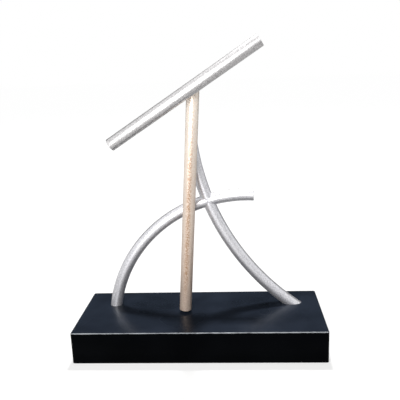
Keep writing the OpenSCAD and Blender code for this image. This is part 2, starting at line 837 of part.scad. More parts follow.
module tall_foot_plug() {
    color([0.5, 0.5, 0.52]) difference() {
        arc_rod(tall_c, tall_bend_r, tall_foot_a - arc_degrees(foot_plug_l, tall_bend_r), tall_foot_a + 5, plug_r);
        below_deck();
        translate([tall_screw_x, arm_y, 0]) z_rod(foot_screw_d + 2 * press_fit, deck_z - 1, deck_z + foot_plug_l);
    }
}

module arm_pivot_plug() {
    half_a = arc_degrees(hub_l / 2, tall_bend_r);
    color([0.5, 0.5, 0.52]) difference() {
        arc_rod(tall_c, tall_bend_r, max(tall_top_a + arc_degrees(cap_l, tall_bend_r), tall_pivot_a - half_a),
            tall_pivot_a + half_a, plug_r);
        at_pivot_on_arm() y_rod(axle_d + 2 * push_fit, -tube_d, tube_d);
    }
}

// What the tall arm takes out of the arch where they cross
module tall_arm_room() {
    arc_rod(tall_c, tall_bend_r, cross_tall_a - 6, cross_tall_a + 6, tube_r + weld_gap);
}

module arch_arm() {
    color([0.78, 0.78, 0.8]) difference() {
        arc_rod(arch_c, arch_bend_r, cross_arch_a, arch_foot_a + 5, tube_r);
        arc_rod(arch_c, arch_bend_r, cross_arch_a - 1, arch_foot_a + 6, bore_r);
        below_deck();
        tall_arm_room();
    }
}

module past_arch_end(x) {
    translate([x, arm_y - far / 2, 0]) cube([far, far, far]);
}

module arch_tip() {
    color([0.78, 0.78, 0.8]) difference() {
        arc_rod(arch_c, arch_bend_r, arch_end_a - 5, cross_arch_a, tube_r);
        arc_rod(arch_c, arch_bend_r, arch_end_a - 6, cross_arch_a + 1, bore_r);
        past_arch_end(arch_end_x);
        tall_arm_room();
    }
}

module arch_end_cap() {
    color([0.74, 0.74, 0.76]) difference() {
        arc_rod(arch_c, arch_bend_r, arch_end_a - 5, arch_end_a + arc_degrees(cap_l, arch_bend_r), plug_r);
        past_arch_end(arch_end_x - 0.2);
    }
}

module arch_foot_plug() {
    plug_a = arc_degrees(foot_plug_l - 8, arch_bend_r);
    color([0.5, 0.5, 0.52]) difference() {
        arc_rod(arch_c, arch_bend_r, arch_foot_a - plug_a, arch_foot_a + 5, plug_r);
        below_deck();
        translate([arch_foot[0], arm_y, 0]) z_rod(foot_screw_d + 2 * press_fit, deck_z - 1, deck_z + 11);
    }
}

module cross_stud() {
    color([0.6, 0.6, 0.62]) translate([cross_p[0], arm_y, cross_p[1]])
        rotate([0, 90 - (cross_arch_a - 90), 0]) z_rod(stud_d, -stud_l / 2, stud_l / 2);
}

module cross_plugs() {
    near_a = arc_degrees(tube_r + 1.5, arch_bend_r);
    far_a = arc_degrees(tube_r + hub_l, arch_bend_r);
    color([0.5, 0.5, 0.52]) for (side = [-1, 1]) difference() {
        arc_rod(arch_c, arch_bend_r, cross_arch_a + (side > 0 ? near_a : -far_a),
            cross_arch_a + (side > 0 ? far_a : -near_a), plug_r);
        stud_hole(stud_d + 2 * press_fit);
    }
}

module foot_screws() {
    top = ceiling_z - foot_boss_h - foot_washer_t;
    color([0.6, 0.6, 0.62]) for (foot = foot_screw_places) translate([foot, arm_y, 0]) difference() {
        union() {
            z_rod(foot_screw_head_d, top - foot_screw_head_h, top);
            z_rod(foot_screw_d, top - 1, deck_z + 9);
        }
        translate([0, 0, top - foot_screw_head_h - 1]) cylinder(d = 3 / cos(30), h = 2.6, $fn = 6);
    }
}

module foot_washers() {
    top = ceiling_z - foot_boss_h;
    color([0.65, 0.65, 0.66]) for (foot = foot_screw_places) translate([foot, arm_y, 0]) difference() {
        z_rod(foot_washer_d, top - foot_washer_t, top);
        z_rod(foot_screw_d + loose_fit, 0, top + 1);
    }
}

// Main pivot, fixed to the tall arm
module at_main() {
    translate([pivot_x, long_y, pivot_z]) children();
}

module main_axle() {
    color([0.7, 0.7, 0.72]) at_main() axle(long_gap);
}

module main_spacer() {
    color([0.75, 0.75, 0.77]) difference() {
        at_main() spacer(long_gap);
        arc_rod(tall_c, tall_bend_r, tall_pivot_a - 3, tall_pivot_a + 3, tube_r + press_fit);
    }
}

module main_saddle() {
    color([0.75, 0.75, 0.77]) difference() {
        at_main() saddle(long_gap);
        arc_rod(tall_c, tall_bend_r, tall_pivot_a - 3, tall_pivot_a + 3, tube_r + press_fit);
    }
}

module main_nut() {
    color([0.7, 0.7, 0.72]) at_main() dome_nut(long_gap);
}

module main_bearing_inner() {
    color([0.8, 0.8, 0.82]) at_main() bearing_inner();
}

// Long stick
module long_tube() {
    color([0.8, 0.7, 0.62]) on_long() difference() {
        straight_tube(-long_below, pivot_span + long_over);
        y_rod(ring_d + 2 * press_fit, 0, tube_d);
        translate([0, 0, pivot_span]) y_rod(axle_d + 2 * push_fit, -tube_d, tube_d);
    }
}

module long_hub() {
    color([0.5, 0.5, 0.52]) on_long() hub();
}

module main_bearing_outer() {
    color([0.72, 0.72, 0.74]) on_long() bearing_outer();
}

module main_ring() {
    color([0.6, 0.6, 0.62]) on_long() closing_ring();
}

module bottom_plug() {
    color([0.55, 0.55, 0.57]) on_long() difference() {
        rotate([180, 0, 0]) end_plug(long_below - hub_l, long_below);
        z_rod(magnet_d + 2 * push_fit, -long_below + 0.6, -long_below + 0.6 + magnet_h + push_fit);
    }
}

module drive_magnet() {
    color([0.65, 0.65, 0.67]) on_long() z_rod(magnet_d, -long_below + 0.6, -long_below + 0.6 + magnet_h);
}

module top_plug() {
    color([0.55, 0.55, 0.57]) on_long() difference() {
        end_plug(pivot_span - hub_l / 2, pivot_span + long_over);
        translate([0, 0, pivot_span]) y_rod(axle_d + 2 * push_fit, -tube_d, tube_d);
    }
}

// Upper pivot, fixed to the long stick
module at_top() {
    on_short() children();
}

module upper_pivot_frame() {
    on_long_top() translate([0, short_y - long_y, 0]) children();
}

module long_tube_room() {
    on_long_top() z_rod(tube_d + 2 * press_fit, -tube_d, tube_d);
}

module top_axle() {
    color([0.7, 0.7, 0.72]) upper_pivot_frame() axle(short_gap);
}

module top_spacer() {
    color([0.75, 0.75, 0.77]) difference() {
        upper_pivot_frame() spacer(short_gap);
        long_tube_room();
    }
}

module top_saddle() {
    color([0.75, 0.75, 0.77]) difference() {
        upper_pivot_frame() saddle(short_gap);
        long_tube_room();
    }
}

module top_nut() {
    color([0.7, 0.7, 0.72]) upper_pivot_frame() dome_nut(short_gap);
}

module top_bearing_inner() {
    color([0.8, 0.8, 0.82]) upper_pivot_frame() bearing_inner();
}

// Short stick
module short_tube() {
    color([0.82, 0.82, 0.84]) on_short() difference() {
        straight_tube(-short_long, short_short);
        y_rod(ring_d + 2 * press_fit, 0, tube_d);
    }
}

module short_hub() {
    color([0.5, 0.5, 0.52]) on_short() hub();
}

module top_bearing_outer() {
    color([0.72, 0.72, 0.74]) on_short() bearing_outer();
}

module top_ring() {
    color([0.6, 0.6, 0.62]) on_short() closing_ring();
}

module short_plug_long_end() {
    color([0.74, 0.74, 0.76]) on_short() rotate([180, 0, 0]) end_plug(short_long - cap_l, short_long);
}

module short_plug_short_end() {
    color([0.74, 0.74, 0.76]) on_short() end_plug(short_short - cap_l, short_short);
}

module balance_weight() {
    end = short_short - cap_l;
    color([0.45, 0.45, 0.47]) on_short() z_rod(2 * plug_r, end - weight_l, end);
}

base_shell();
bottom_plate();
battery_door();
rubber_feet();
plate_screws();
ballast_plate();
battery_box();
battery_cells();
contact_springs();
contact_plates();
battery_leads();
coil_bobbin();
coil_winding();
coil_core();
coil_leads();
inner_screws();
circuit_board();
board_components();
switch_body();
switch_slider();
switch_leads();
tall_arm();
tall_arm_cap();
tall_foot_plug();
arm_pivot_plug();
arch_arm();
arch_tip();
arch_end_cap();
arch_foot_plug();
cross_stud();
cross_plugs();
foot_screws();
foot_washers();
main_axle();
main_spacer();
main_saddle();
main_nut();
main_bearing_inner();
long_tube();
long_hub();
main_bearing_outer();
main_ring();
bottom_plug();
drive_magnet();
top_plug();
top_axle();
top_spacer();
top_saddle();
top_nut();
top_bearing_inner();
short_tube();
short_hub();
top_bearing_outer();
top_ring();
short_plug_long_end();
short_plug_short_end();
balance_weight();
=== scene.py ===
# Double pendulum desk toy: two spinning sticks above a black box base.
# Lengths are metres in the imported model's frame: X along the base, Y away from the viewer, Z up.
import json
import math

import bmesh
import bpy
from mathutils import Matrix, Vector


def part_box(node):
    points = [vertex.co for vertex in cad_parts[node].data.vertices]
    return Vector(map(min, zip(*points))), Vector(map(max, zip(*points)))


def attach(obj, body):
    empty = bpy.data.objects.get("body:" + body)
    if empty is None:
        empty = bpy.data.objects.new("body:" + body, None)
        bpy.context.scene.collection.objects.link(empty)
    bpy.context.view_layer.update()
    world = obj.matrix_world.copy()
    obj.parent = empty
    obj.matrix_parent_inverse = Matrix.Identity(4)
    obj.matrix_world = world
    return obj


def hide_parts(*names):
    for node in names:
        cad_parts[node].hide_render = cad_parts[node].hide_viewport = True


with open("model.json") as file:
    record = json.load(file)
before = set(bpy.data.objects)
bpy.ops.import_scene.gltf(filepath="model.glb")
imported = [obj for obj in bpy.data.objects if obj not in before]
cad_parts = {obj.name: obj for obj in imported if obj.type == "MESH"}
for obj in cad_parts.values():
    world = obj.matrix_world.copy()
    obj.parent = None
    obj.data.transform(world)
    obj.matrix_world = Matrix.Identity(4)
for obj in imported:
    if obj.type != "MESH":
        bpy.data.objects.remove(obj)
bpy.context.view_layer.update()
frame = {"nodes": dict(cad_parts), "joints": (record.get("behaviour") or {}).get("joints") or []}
pivotPlace = {j["name"]: Vector(j["pos_m"]) for j in frame["joints"] if "pos_m" in j}
mainPivot = pivotPlace["long_stick_spin"]
topPivot = pivotPlace["short_stick_spin"]
print("frame loaded with", len(frame["nodes"]), "nodes")

# Camera, from the photograph's viewpoint
view = dict(place=(0.04831, -0.64016, 0.33628), pitch=13.45, yaw=-3.92, roll=-2.22,
            lens=49.68, sensor=36)


def newObject(name, data):
    made = bpy.data.objects.new(name, data)
    bpy.context.scene.collection.objects.link(made)
    return made


def addCamera():
    pitch, yaw, roll = (math.radians(view[key]) for key in ("pitch", "yaw", "roll"))
    forward = Vector((
        math.sin(yaw) * math.cos(pitch), math.cos(yaw) * math.cos(pitch), -math.sin(pitch)))
    right = Vector((math.cos(yaw), -math.sin(yaw), 0))
    up = right.cross(forward)
    across = math.cos(roll) * right + math.sin(roll) * up
    above = math.cos(roll) * up - math.sin(roll) * right
    turn = Matrix((across, above, -forward)).transposed().to_4x4()
    lens = bpy.data.cameras.new("camera")
    lens.lens = view["lens"]
    lens.sensor_width = view["sensor"]
    camera = newObject("camera", lens)
    camera.matrix_world = Matrix.Translation(view["place"]) @ turn
    bpy.context.scene.camera = camera


addCamera()
bpy.context.scene.view_settings.view_transform = "Standard"
print("camera placed")

# Selecting and shaping, as by hand
past = 0.001  # how far a cutting tool reaches beyond the faces that it cuts
through = 0.015  # half the length of a drill that goes across a tube
axleBore = 0.00155  # radius of the hole for an axle
close = 0.00001  # how exactly a point has to lie on a face to count as on it
merge = 0.000002  # points nearer than this become one


def deselect():
    if bpy.context.object and bpy.context.object.mode != "OBJECT":
        bpy.ops.object.mode_set(mode="OBJECT")
    bpy.ops.object.select_all(action="DESELECT")


def only(piece):
    deselect()
    bpy.context.view_layer.objects.active = piece
    piece.select_set(True)


def edit(piece, kind):
    only(piece)
    bpy.ops.object.mode_set(mode="EDIT")
    bpy.ops.mesh.select_mode(type=kind)
    bpy.ops.mesh.select_all(action="DESELECT")


def bevelEdges(piece, width, segments, test):
    # rounds the edges whose two ends pass the test
    edit(piece, "EDGE")
    shape = bmesh.from_edit_mesh(piece.data)
    for edge in shape.edges:
        edge.select_set(bool(test(edge.verts[0].co, edge.verts[1].co)))
    bmesh.update_edit_mesh(piece.data)
    bpy.ops.mesh.bevel(offset=width, segments=segments, affect="EDGES")
    deselect()


def runsAlong(axis):
    # the test for a block's edges that run along one axis
    return lambda a, b: abs(a[axis] - b[axis]) > past / 2


def sinkEnd(piece, facing, border, slope, depth):
    # sinks the flat end that faces one way, but for a border
    edit(piece, "FACE")
    shape = bmesh.from_edit_mesh(piece.data)
    for face in shape.faces:
        face.select_set(face.normal.dot(facing) > 0.99)
    bmesh.update_edit_mesh(piece.data)
    bpy.ops.mesh.inset(thickness=border)
    bpy.ops.mesh.inset(thickness=slope, depth=-depth)
    deselect()


def bake(piece):
    # puts the object's place into its mesh and applies its modifiers
    only(piece)
    bpy.ops.object.transform_apply(location=True, rotation=True, scale=True)
    for modifier in list(piece.modifiers):
        bpy.ops.object.modifier_apply(modifier=modifier.name)
    return piece


def rod(start, end, radius, sides=64, endRadius=None, ends="NGON"):
    # a round bar between two points, tapered where endRadius is given
    start, end = Vector(start), Vector(end)
    along = end - start
    deselect()
    bpy.ops.mesh.primitive_cone_add(
        vertices=sides, radius1=radius, radius2=radius if endRadius is None else endRadius,
        depth=along.length, end_fill_type=ends, location=(start + end) / 2,
        rotation=along.to_track_quat("Z", "Y").to_euler())
    return bake(bpy.context.object)


def upright(place, low, high, radius, sides=32, endRadius=None):
    return rod((place.x, place.y, low), (place.x, place.y, high), radius, sides, endRadius)


def alongY(place, start, end, radius, sides=64):
    return rod(place + Vector((0, start, 0)), place + Vector((0, end, 0)), radius, sides)


def block(low, high):
    low, high = Vector(low), Vector(high)
    deselect()
    bpy.ops.mesh.primitive_cube_add(size=1, location=(low + high) / 2)
    bpy.context.object.scale = high - low
    return bake(bpy.context.object)


def modified(piece, kind, **settings):
    modifier = piece.modifiers.new(kind, kind)
    for key, value in settings.items():
        setattr(modifier, key, value)
    return bake(piece)


def roundEdges(piece, width, segments=3, angle=40):
    return modified(piece, "BEVEL", width=width, segments=segments, limit_method="ANGLE",
                    angle_limit=math.radians(angle), harden_normals=False)


def thicken(piece, wall):
    # gives an open surface a wall on its inner side
    return modified(piece, "SOLIDIFY", thickness=wall, offset=-1)


def combine(piece, tool, operation="DIFFERENCE"):
    modified(piece, "BOOLEAN", operation=operation, solver="EXACT", object=tool)
    bpy.data.objects.remove(tool)
    return piece


def boreAcross(piece, place):
    # the hole for an axle, through both walls of a tube
    return combine(piece, alongY(place, -through, through, axleBore, 32))


def joined(pieces):
    deselect()
    for piece in pieces:
        piece.select_set(True)
    bpy.context.view_layer.objects.active = pieces[0]
    bpy.ops.object.join()
    return pieces[0]


def copyOf(piece):
    twin = piece.copy()
    twin.data = piece.data.copy()
    bpy.context.scene.collection.objects.link(twin)
    return twin


def repeated(piece, places):
    # the piece, made at the first place, and a copy of it at each other place
    pieces = [piece]
    for place in places[1:]:
        twin = copyOf(piece)
        twin.location = place - places[0]
        pieces.append(bake(twin))
    return joined(pieces)


def tidyNormals(piece):
    edit(piece, "VERT")
    bpy.ops.mesh.select_all(action="SELECT")
    bpy.ops.mesh.remove_doubles(threshold=merge)
    bpy.ops.mesh.normals_make_consistent(inside=False)
    deselect()
    return piece


def solidsOf(part):
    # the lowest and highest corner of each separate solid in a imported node
    shape = bmesh.new()
    shape.from_mesh(frame["nodes"][part].data)
    bmesh.ops.remove_doubles(shape, verts=shape.verts, dist=close)
    waiting = set(shape.verts)
    found = []
    while waiting:
        group = [waiting.pop()]
        for vert in group:
            for edge in vert.link_edges:
                other = edge.other_vert(vert)
                if other in waiting:
                    waiting.discard(other)
                    group.append(other)
        sides = [[vert.co[axis] for vert in group] for axis in range(3)]
        found.append((Vector([min(side) for side in sides]), Vector([max(side) for side in sides])))
    shape.free()
    return sorted(found, key=lambda corners: tuple(corners[0]))


def middle(corners):
    return (corners[0] + corners[1]) / 2


def finishPiece(piece, name, look, body, slot, *replaced, angle=32):
    bake(piece)
    bpy.ops.object.shade_smooth_by_angle(angle=math.radians(angle))
    piece.name = name
    piece.data.name = name
    piece.data.materials.clear()
    piece.data.materials.append(finish[look])
    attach(piece, body)
    if replaced:
        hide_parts(*replaced)
    return piece


# Nodes of materials: most helpers return the socket that comes out, and a socket's id_data is its tree


def node(tree, kind, inputs, **settings):
    # a new node, each of whose inputs gets a value or a link from a socket
    made = tree.nodes.new("ShaderNode" + kind)
    for key, value in settings.items():
        setattr(made, key, value)
    for key, value in inputs.items():
        if isinstance(value, bpy.types.NodeSocket):
            tree.links.new(value, made.inputs[key])
        else:
            made.inputs[key].default_value = value
    return made.outputs


def objectPoint(tree):
    return node(tree, "TexCoord", {})["Object"]


def noise(point, scale, detail=2.0, rough=0.55):
    inputs = {"Vector": point, "Scale": scale, "Detail": detail, "Roughness": rough}
    return node(point.id_data, "TexNoise", inputs)["Fac"]


def ramp(factor, low, high, start=0.35, end=0.65):
    tree = factor.id_data
    blend = tree.nodes.new("ShaderNodeValToRGB")
    for stop, place, colour in zip(blend.color_ramp.elements, (start, end), (low, high)):
        stop.position = place
        stop.color = (*colour, 1)
    tree.links.new(factor, blend.inputs["Fac"])
    return blend.outputs["Color"]


def spread(factor, low, high, start=0.3, end=0.7):
    # low where the factor is at start, high where it's at end
    inputs = {"Value": factor, "From Min": start, "From Max": end, "To Min": low, "To Max": high}
    return node(factor.id_data, "MapRange", inputs)["Result"]


def calc(operation, first, second=0.0):
    return node(first.id_data, "Math", {0: first, 1: second}, operation=operation)[0]


def mix(factor, low, high):
    # each side is a colour or a socket
    low, high = ((*side, 1) if isinstance(side, tuple) else side for side in (low, high))
    return node(factor.id_data, "Mix", {"Factor": factor, 6: low, 7: high}, data_type="RGBA")[2]


def mixShaders(factor, first, second):
    return node(factor.id_data, "MixShader", {0: factor, 1: first, 2: second})[0]


def newMaterial(name, look):
    material = bpy.data.materials.new(name)
    material.use_nodes = True
    tree = material.node_tree
    shader = tree.nodes["Principled BSDF"]
    shader.inputs["Base Color"].default_value = (*look["light"], 1)
    shader.inputs["Roughness"].default_value = look["roughness"]
    shader.inputs["Metallic"].default_value = look["metallic"]
    return material, tree, shader


def uneven(factor, look, shine):
    # roughness that strays to both sides of the look's own
    return spread(factor, look["roughness"] - shine["smoother"], look["roughness"] + shine["rougher"])


def finishShader(shader, colour, roughness, height, look):
    tree = colour.id_data
    bumps = node(tree, "Bump", {"Height": height, "Strength": look["relief"], "Distance": look["depth"]})
    for socket, name in ((colour, "Base Color"), (roughness, "Roughness"), (bumps[0], "Normal")):
        tree.links.new(socket, shader.inputs[name])


# What a grained finish has where it names nothing else
grain = dict(metallic=0.0, scale=900.0, detail=4.0, cloud=35.0, relief=0.2, depth=0.00006,
             smoother=0.05, rougher=0.06)


def grained(name, look):
    # two close colours from a slow cloud and a fine grain, which also moves roughness and height
    look = grain | look
    material, tree, shader = newMaterial(name, look)
    point = objectPoint(tree)
    fine = noise(point, look["scale"], look["detail"])
    slow = noise(point, look["cloud"])
    cloud = ramp(slow, look["dark"], look["light"])
    tone = ramp(fine, look["dark"], look["light"])
    finishShader(shader, mix(slow, cloud, tone), uneven(fine, look, look), fine, look)
    return material


# Lacquer of the casing: near black with a blue satin sheen and a faint orange peel; the deck carries
# painted light, a lighter bluer tone than the sides, and the rounded top edges a pale painted highlight
lacquer = dict(
    dark=(0.0010, 0.0012, 0.0015), light=(0.0016, 0.0019, 0.0024),
    # the deck colours are painted light: the top drawn lighter and bluer than the sides, as if lit from
    # above
    paintedLitDeckDark=(0.0076, 0.0104, 0.0163), paintedLitDeckLight=(0.0138, 0.0184, 0.0286),
    # the pale colour and the edge keys below make a painted highlight along the rounded top edges
    paintedEdgeHighlight=(0.30, 0.32, 0.34), roughness=0.28, metallic=0.0, smoother=0.03, rougher=0.05,
    peel=520.0, cloud=16.0, relief=0.06, depth=0.00005, paintedLitDeckFrom=0.6, paintedLitDeckTo=0.95,
    edgeWide=0.0011, edgeFade=0.0007, highlightNoise=90.0, highlightNoiseDetail=3.0, highlightNoiseLess=-0.0002, highlightNoiseMore=0.0003,
    rearHighlight=0.12, rearFrom=0.3, cornerHighlight=0.06, sideHighlight=0.2,
)
sheen = {"IOR": 1.18, "Specular Tint": (0.08, 0.09, 0.1, 1), "Sheen Weight": 0.03,
         "Sheen Roughness": 0.35, "Sheen Tint": (0.6, 0.8, 1.0, 1)}


def makeLacquer():
    low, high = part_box("base_shell")
    look = lacquer
    material, tree, shader = newMaterial("satinBlackLacquer", look)
    for name, value in sheen.items():
        shader.inputs[name].default_value = value
    point = objectPoint(tree)
    cloud = noise(point, look["cloud"])
    sides = ramp(cloud, look["dark"], look["light"])
    # painted light: the deck's tone, lighter and bluer than the sides'
    deck = ramp(cloud, look["paintedLitDeckDark"], look["paintedLitDeckLight"])
    # how far a point is past the start of the rounding, for each pair of faces that meet at an edge
    axes = node(tree, "SeparateXYZ", {0: point})
    width = look["edgeWide"]
    pastX = calc("SUBTRACT", calc("ABSOLUTE", axes["X"]), high.x - width)
    pastY = calc("SUBTRACT", calc("ABSOLUTE", axes["Y"]), high.y - width)
    pastZ = calc("SUBTRACT", axes["Z"], high.z - width)
    pairs = [calc("MINIMUM", *pair) for pair in ((pastX, pastY), (pastY, pastZ), (pastX, pastZ))]
    # a painted highlight on the rounded edges, ragged with noise: full on the front and rear top edges,
    # weaker on the end top edges, faint on the upright corners
    ragged = spread(noise(point, look["highlightNoise"], look["highlightNoiseDetail"]), look["highlightNoiseLess"], look["highlightNoiseMore"])
    edgeHighlights = [spread(calc("ADD", pair, ragged), 0.0, most, 0.0, look["edgeFade"])
            for pair, most in zip(pairs, (look["cornerHighlight"], 1.0, look["sideHighlight"]))]
    paintedEdgeHighlight = calc("MAXIMUM", calc("MAXIMUM", edgeHighlights[0], edgeHighlights[1]), edgeHighlights[2])
    # the painted highlight is strongest at the front and drops to a little towards the rear
    lessHighlightAtRear = spread(axes["Y"], 1.0, look["rearHighlight"], low.y, low.y * look["rearFrom"])
    # the painted light of the deck takes over from the sides' colour on the upper part of the top
    # rounding
    paintedLightOnDeck = spread(pastZ, 0.0, 1.0, width * look["paintedLitDeckFrom"], width * look["paintedLitDeckTo"])
    tone = mix(calc("MULTIPLY", paintedEdgeHighlight, lessHighlightAtRear), mix(paintedLightOnDeck, sides, deck), look["paintedEdgeHighlight"])
    peel = noise(point, look["peel"])
    finishShader(shader, tone, uneven(cloud, look, look), peel, look)
    return material


armMetal = dict(dark=(0.40, 0.40, 0.435), light=(0.95, 0.95, 0.975), roughness=0.36, metallic=0.8)
silver = dict(dark=(0.34, 0.335, 0.34), light=(0.86, 0.85, 0.855), roughness=0.36, metallic=0.85)
speckle = dict(fine=2400.0, fineDetail=3.0, coarse=640.0, rough=0.6, fineSpan=(0.3, 0.7),
               coarseSpan=(0.38, 0.62), cloud=55.0, cloudMost=0.5, even=0.6,
               relief=0.15, depth=0.00005, smoother=0.05, rougher=0.08)


def speckled(point):
    # a fine grain, a coarse one, and specks from nought to one that come half from each
    fine = noise(point, speckle["fine"], speckle["fineDetail"], speckle["rough"])
    coarse = noise(point, speckle["coarse"], rough=speckle["rough"])
    specks = calc("ADD", spread(fine, 0.0, 0.5, *speckle["fineSpan"]),
                  spread(coarse, 0.0, 0.5, *speckle["coarseSpan"]))
    return fine, coarse, specks


def makeBlasted(name, look):
    # bead-blasted aluminium: dull and bright specks of two sizes, a little uneven from place to place
    material, tree, shader = newMaterial(name, look)
    point = objectPoint(tree)
    fine, _, specks = speckled(point)
    share = speckle["even"]
    even = tuple((1 - share) * dark + share * light for dark, light in zip(look["dark"], look["light"]))
    slow = spread(noise(point, speckle["cloud"]), 0.0, speckle["cloudMost"])
    tone = mix(slow, mix(specks, look["dark"], look["light"]), even)
    finishShader(shader, tone, uneven(fine, look, speckle), fine, speckle)
    return material


longLean = math.atan2(topPivot.x - mainPivot.x, topPivot.z - mainPivot.z)
shortHigh = middle(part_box("short_plug_short_end"))
shortLow = middle(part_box("short_plug_long_end"))
shortTurn = math.atan2(shortHigh.x - shortLow.x, shortHigh.z - shortLow.z)

# Finish of the long stick; its places are heights above the main pivot, along the tube
champagne = dict(
    dark=(0.92, 0.76, 0.62), light=(0.98, 0.95, 0.90), roughness=0.38, metallic=0.5,
    # painted shade: the darker taupe colours of the foot; the cream top colours above are painted light
    paintedShadeFootDark=(0.56, 0.41, 0.32), paintedShadeFootLight=(0.80, 0.66, 0.56), footAt=-0.19, topAt=0.05,
    patch=(0.86, 0.72, 0.60), patchScale=90.0, patchMost=0.15,
    # a painted dark reflection up the middle of the tube
    paintedReflection=(0.42, 0.24, 0.13), paintedReflectionFrom=-0.15, paintedReflectionTo=-0.03, paintedReflectionTop=0.3,
    paintedReflectionCore=0.0004, paintedReflectionWide=0.0038, paintedReflectionBroken=0.25, brokenSpan=(0.6, 0.42),
)


def makeChampagne():
    # speckled anodised tube, with painted light making it cream towards the top and painted shade making
    # it taupe towards the foot
    look = champagne
    material, tree, shader = newMaterial("champagneTube", look)
    shift = node(tree, "VectorMath", {0: objectPoint(tree), 1: mainPivot}, operation="SUBTRACT")[0]
    straight = node(tree, "Mapping", {"Vector": shift, "Rotation": (0, -longLean, 0)})[0]
    axes = node(tree, "SeparateXYZ", {0: straight})
    fine, coarse, specks = speckled(straight)
    # painted light and shade: cream at the top, darker taupe towards the foot
    low = mix(specks, look["paintedShadeFootDark"], look["paintedShadeFootLight"])
    high = mix(specks, look["dark"], look["light"])
    height = spread(axes["Z"], 0.0, 1.0, look["footAt"], look["topAt"])
    patches = spread(noise(straight, look["patchScale"]), 0.0, look["patchMost"])
    tone = mix(patches, mix(height, low, high), look["patch"])
    # a painted dark reflection runs up the middle of the tube's front and back and fades at both ends
    across = calc("ABSOLUTE", axes["X"])
    band = spread(across, 1.0, 0.0, look["paintedReflectionCore"], look["paintedReflectionWide"])
    above = spread(axes["Z"], 0.0, 1.0, look["footAt"], look["paintedReflectionFrom"])
    below = spread(axes["Z"], 1.0, look["paintedReflectionTop"], look["paintedReflectionTo"], look["topAt"])
    broken = spread(coarse, look["paintedReflectionBroken"], 1.0, *look["brokenSpan"])
    ends = calc("MULTIPLY", above, below)
    paintedReflection = calc("MULTIPLY", calc("MULTIPLY", band, ends), broken)
    tone = mix(paintedReflection, tone, look["paintedReflection"])
    finishShader(shader, tone, uneven(fine, look, speckle), fine, speckle)
    return material


finishes = dict(
    turnedAluminium=dict(dark=(0.55, 0.55, 0.56), light=(0.70, 0.70, 0.71), roughness=0.34,
                         metallic=0.6, relief=0.12),
    brightSteel=dict(dark=(0.45, 0.45, 0.47), light=(0.60, 0.60, 0.62), roughness=0.24,
                     metallic=0.95, scale=800.0, relief=0.06),
    satinSteel=dict(dark=(0.30, 0.30, 0.32), light=(0.44, 0.44, 0.46), roughness=0.38,
                    metallic=0.95, scale=700.0, relief=0.1),
    zincScrew=dict(dark=(0.40, 0.40, 0.42), light=(0.56, 0.56, 0.58), roughness=0.3,
                   metallic=0.95, relief=0.1),
    mouldedBlack=dict(dark=(0.026, 0.026, 0.028), light=(0.042, 0.042, 0.045), roughness=0.58,
                      scale=1500.0, relief=0.5, depth=0.00012),
    footRubber=dict(dark=(0.055, 0.054, 0.052), light=(0.085, 0.083, 0.080), roughness=0.82,
                    relief=0.4, depth=0.0001),
    sliderRed=dict(dark=(0.26, 0.016, 0.012), light=(0.36, 0.024, 0.018), roughness=0.45, scale=1200.0),
    leadRed=dict(dark=(0.20, 0.012, 0.010), light=(0.30, 0.020, 0.016), roughness=0.42, scale=1100.0),
    leadBlue=dict(dark=(0.010, 0.016, 0.11), light=(0.018, 0.026, 0.17), roughness=0.42, scale=1100.0),
    springNickel=dict(dark=(0.46, 0.46, 0.45), light=(0.62, 0.62, 0.60), roughness=0.26,
                      metallic=0.95, scale=700.0, relief=0.08),
)
finish = {name: grained(name, look) for name, look in finishes.items()}
finish |= dict(blackLacquer=makeLacquer(), champagneTube=makeChampagne(),
               silverTube=makeBlasted("silverTube", silver), satinArm=makeBlasted("satinArm", armMetal))
print("materials made")

# Casing: a box open below, with bosses, ribs and the switch recess
casing = dict(
    wall=0.003, deck=0.0035, corner=0.0025, edge=0.0012, rim=0.0004,
    boss=0.0045, ribHalf=0.001, footBoss=0.0065, footBossHigh=0.006, post=0.00325,
    pilot=0.0014, footHole=0.0023, postHole=0.00121, postHoleDeep=0.008, screwsFrom=0.02,
    recessDeep=0.0016, recessSide=0.002, recessAbove=0.0015, recessRound=0.002,
    slotWide=0.0096, slotHigh=0.0046, slotDeep=0.006,
)


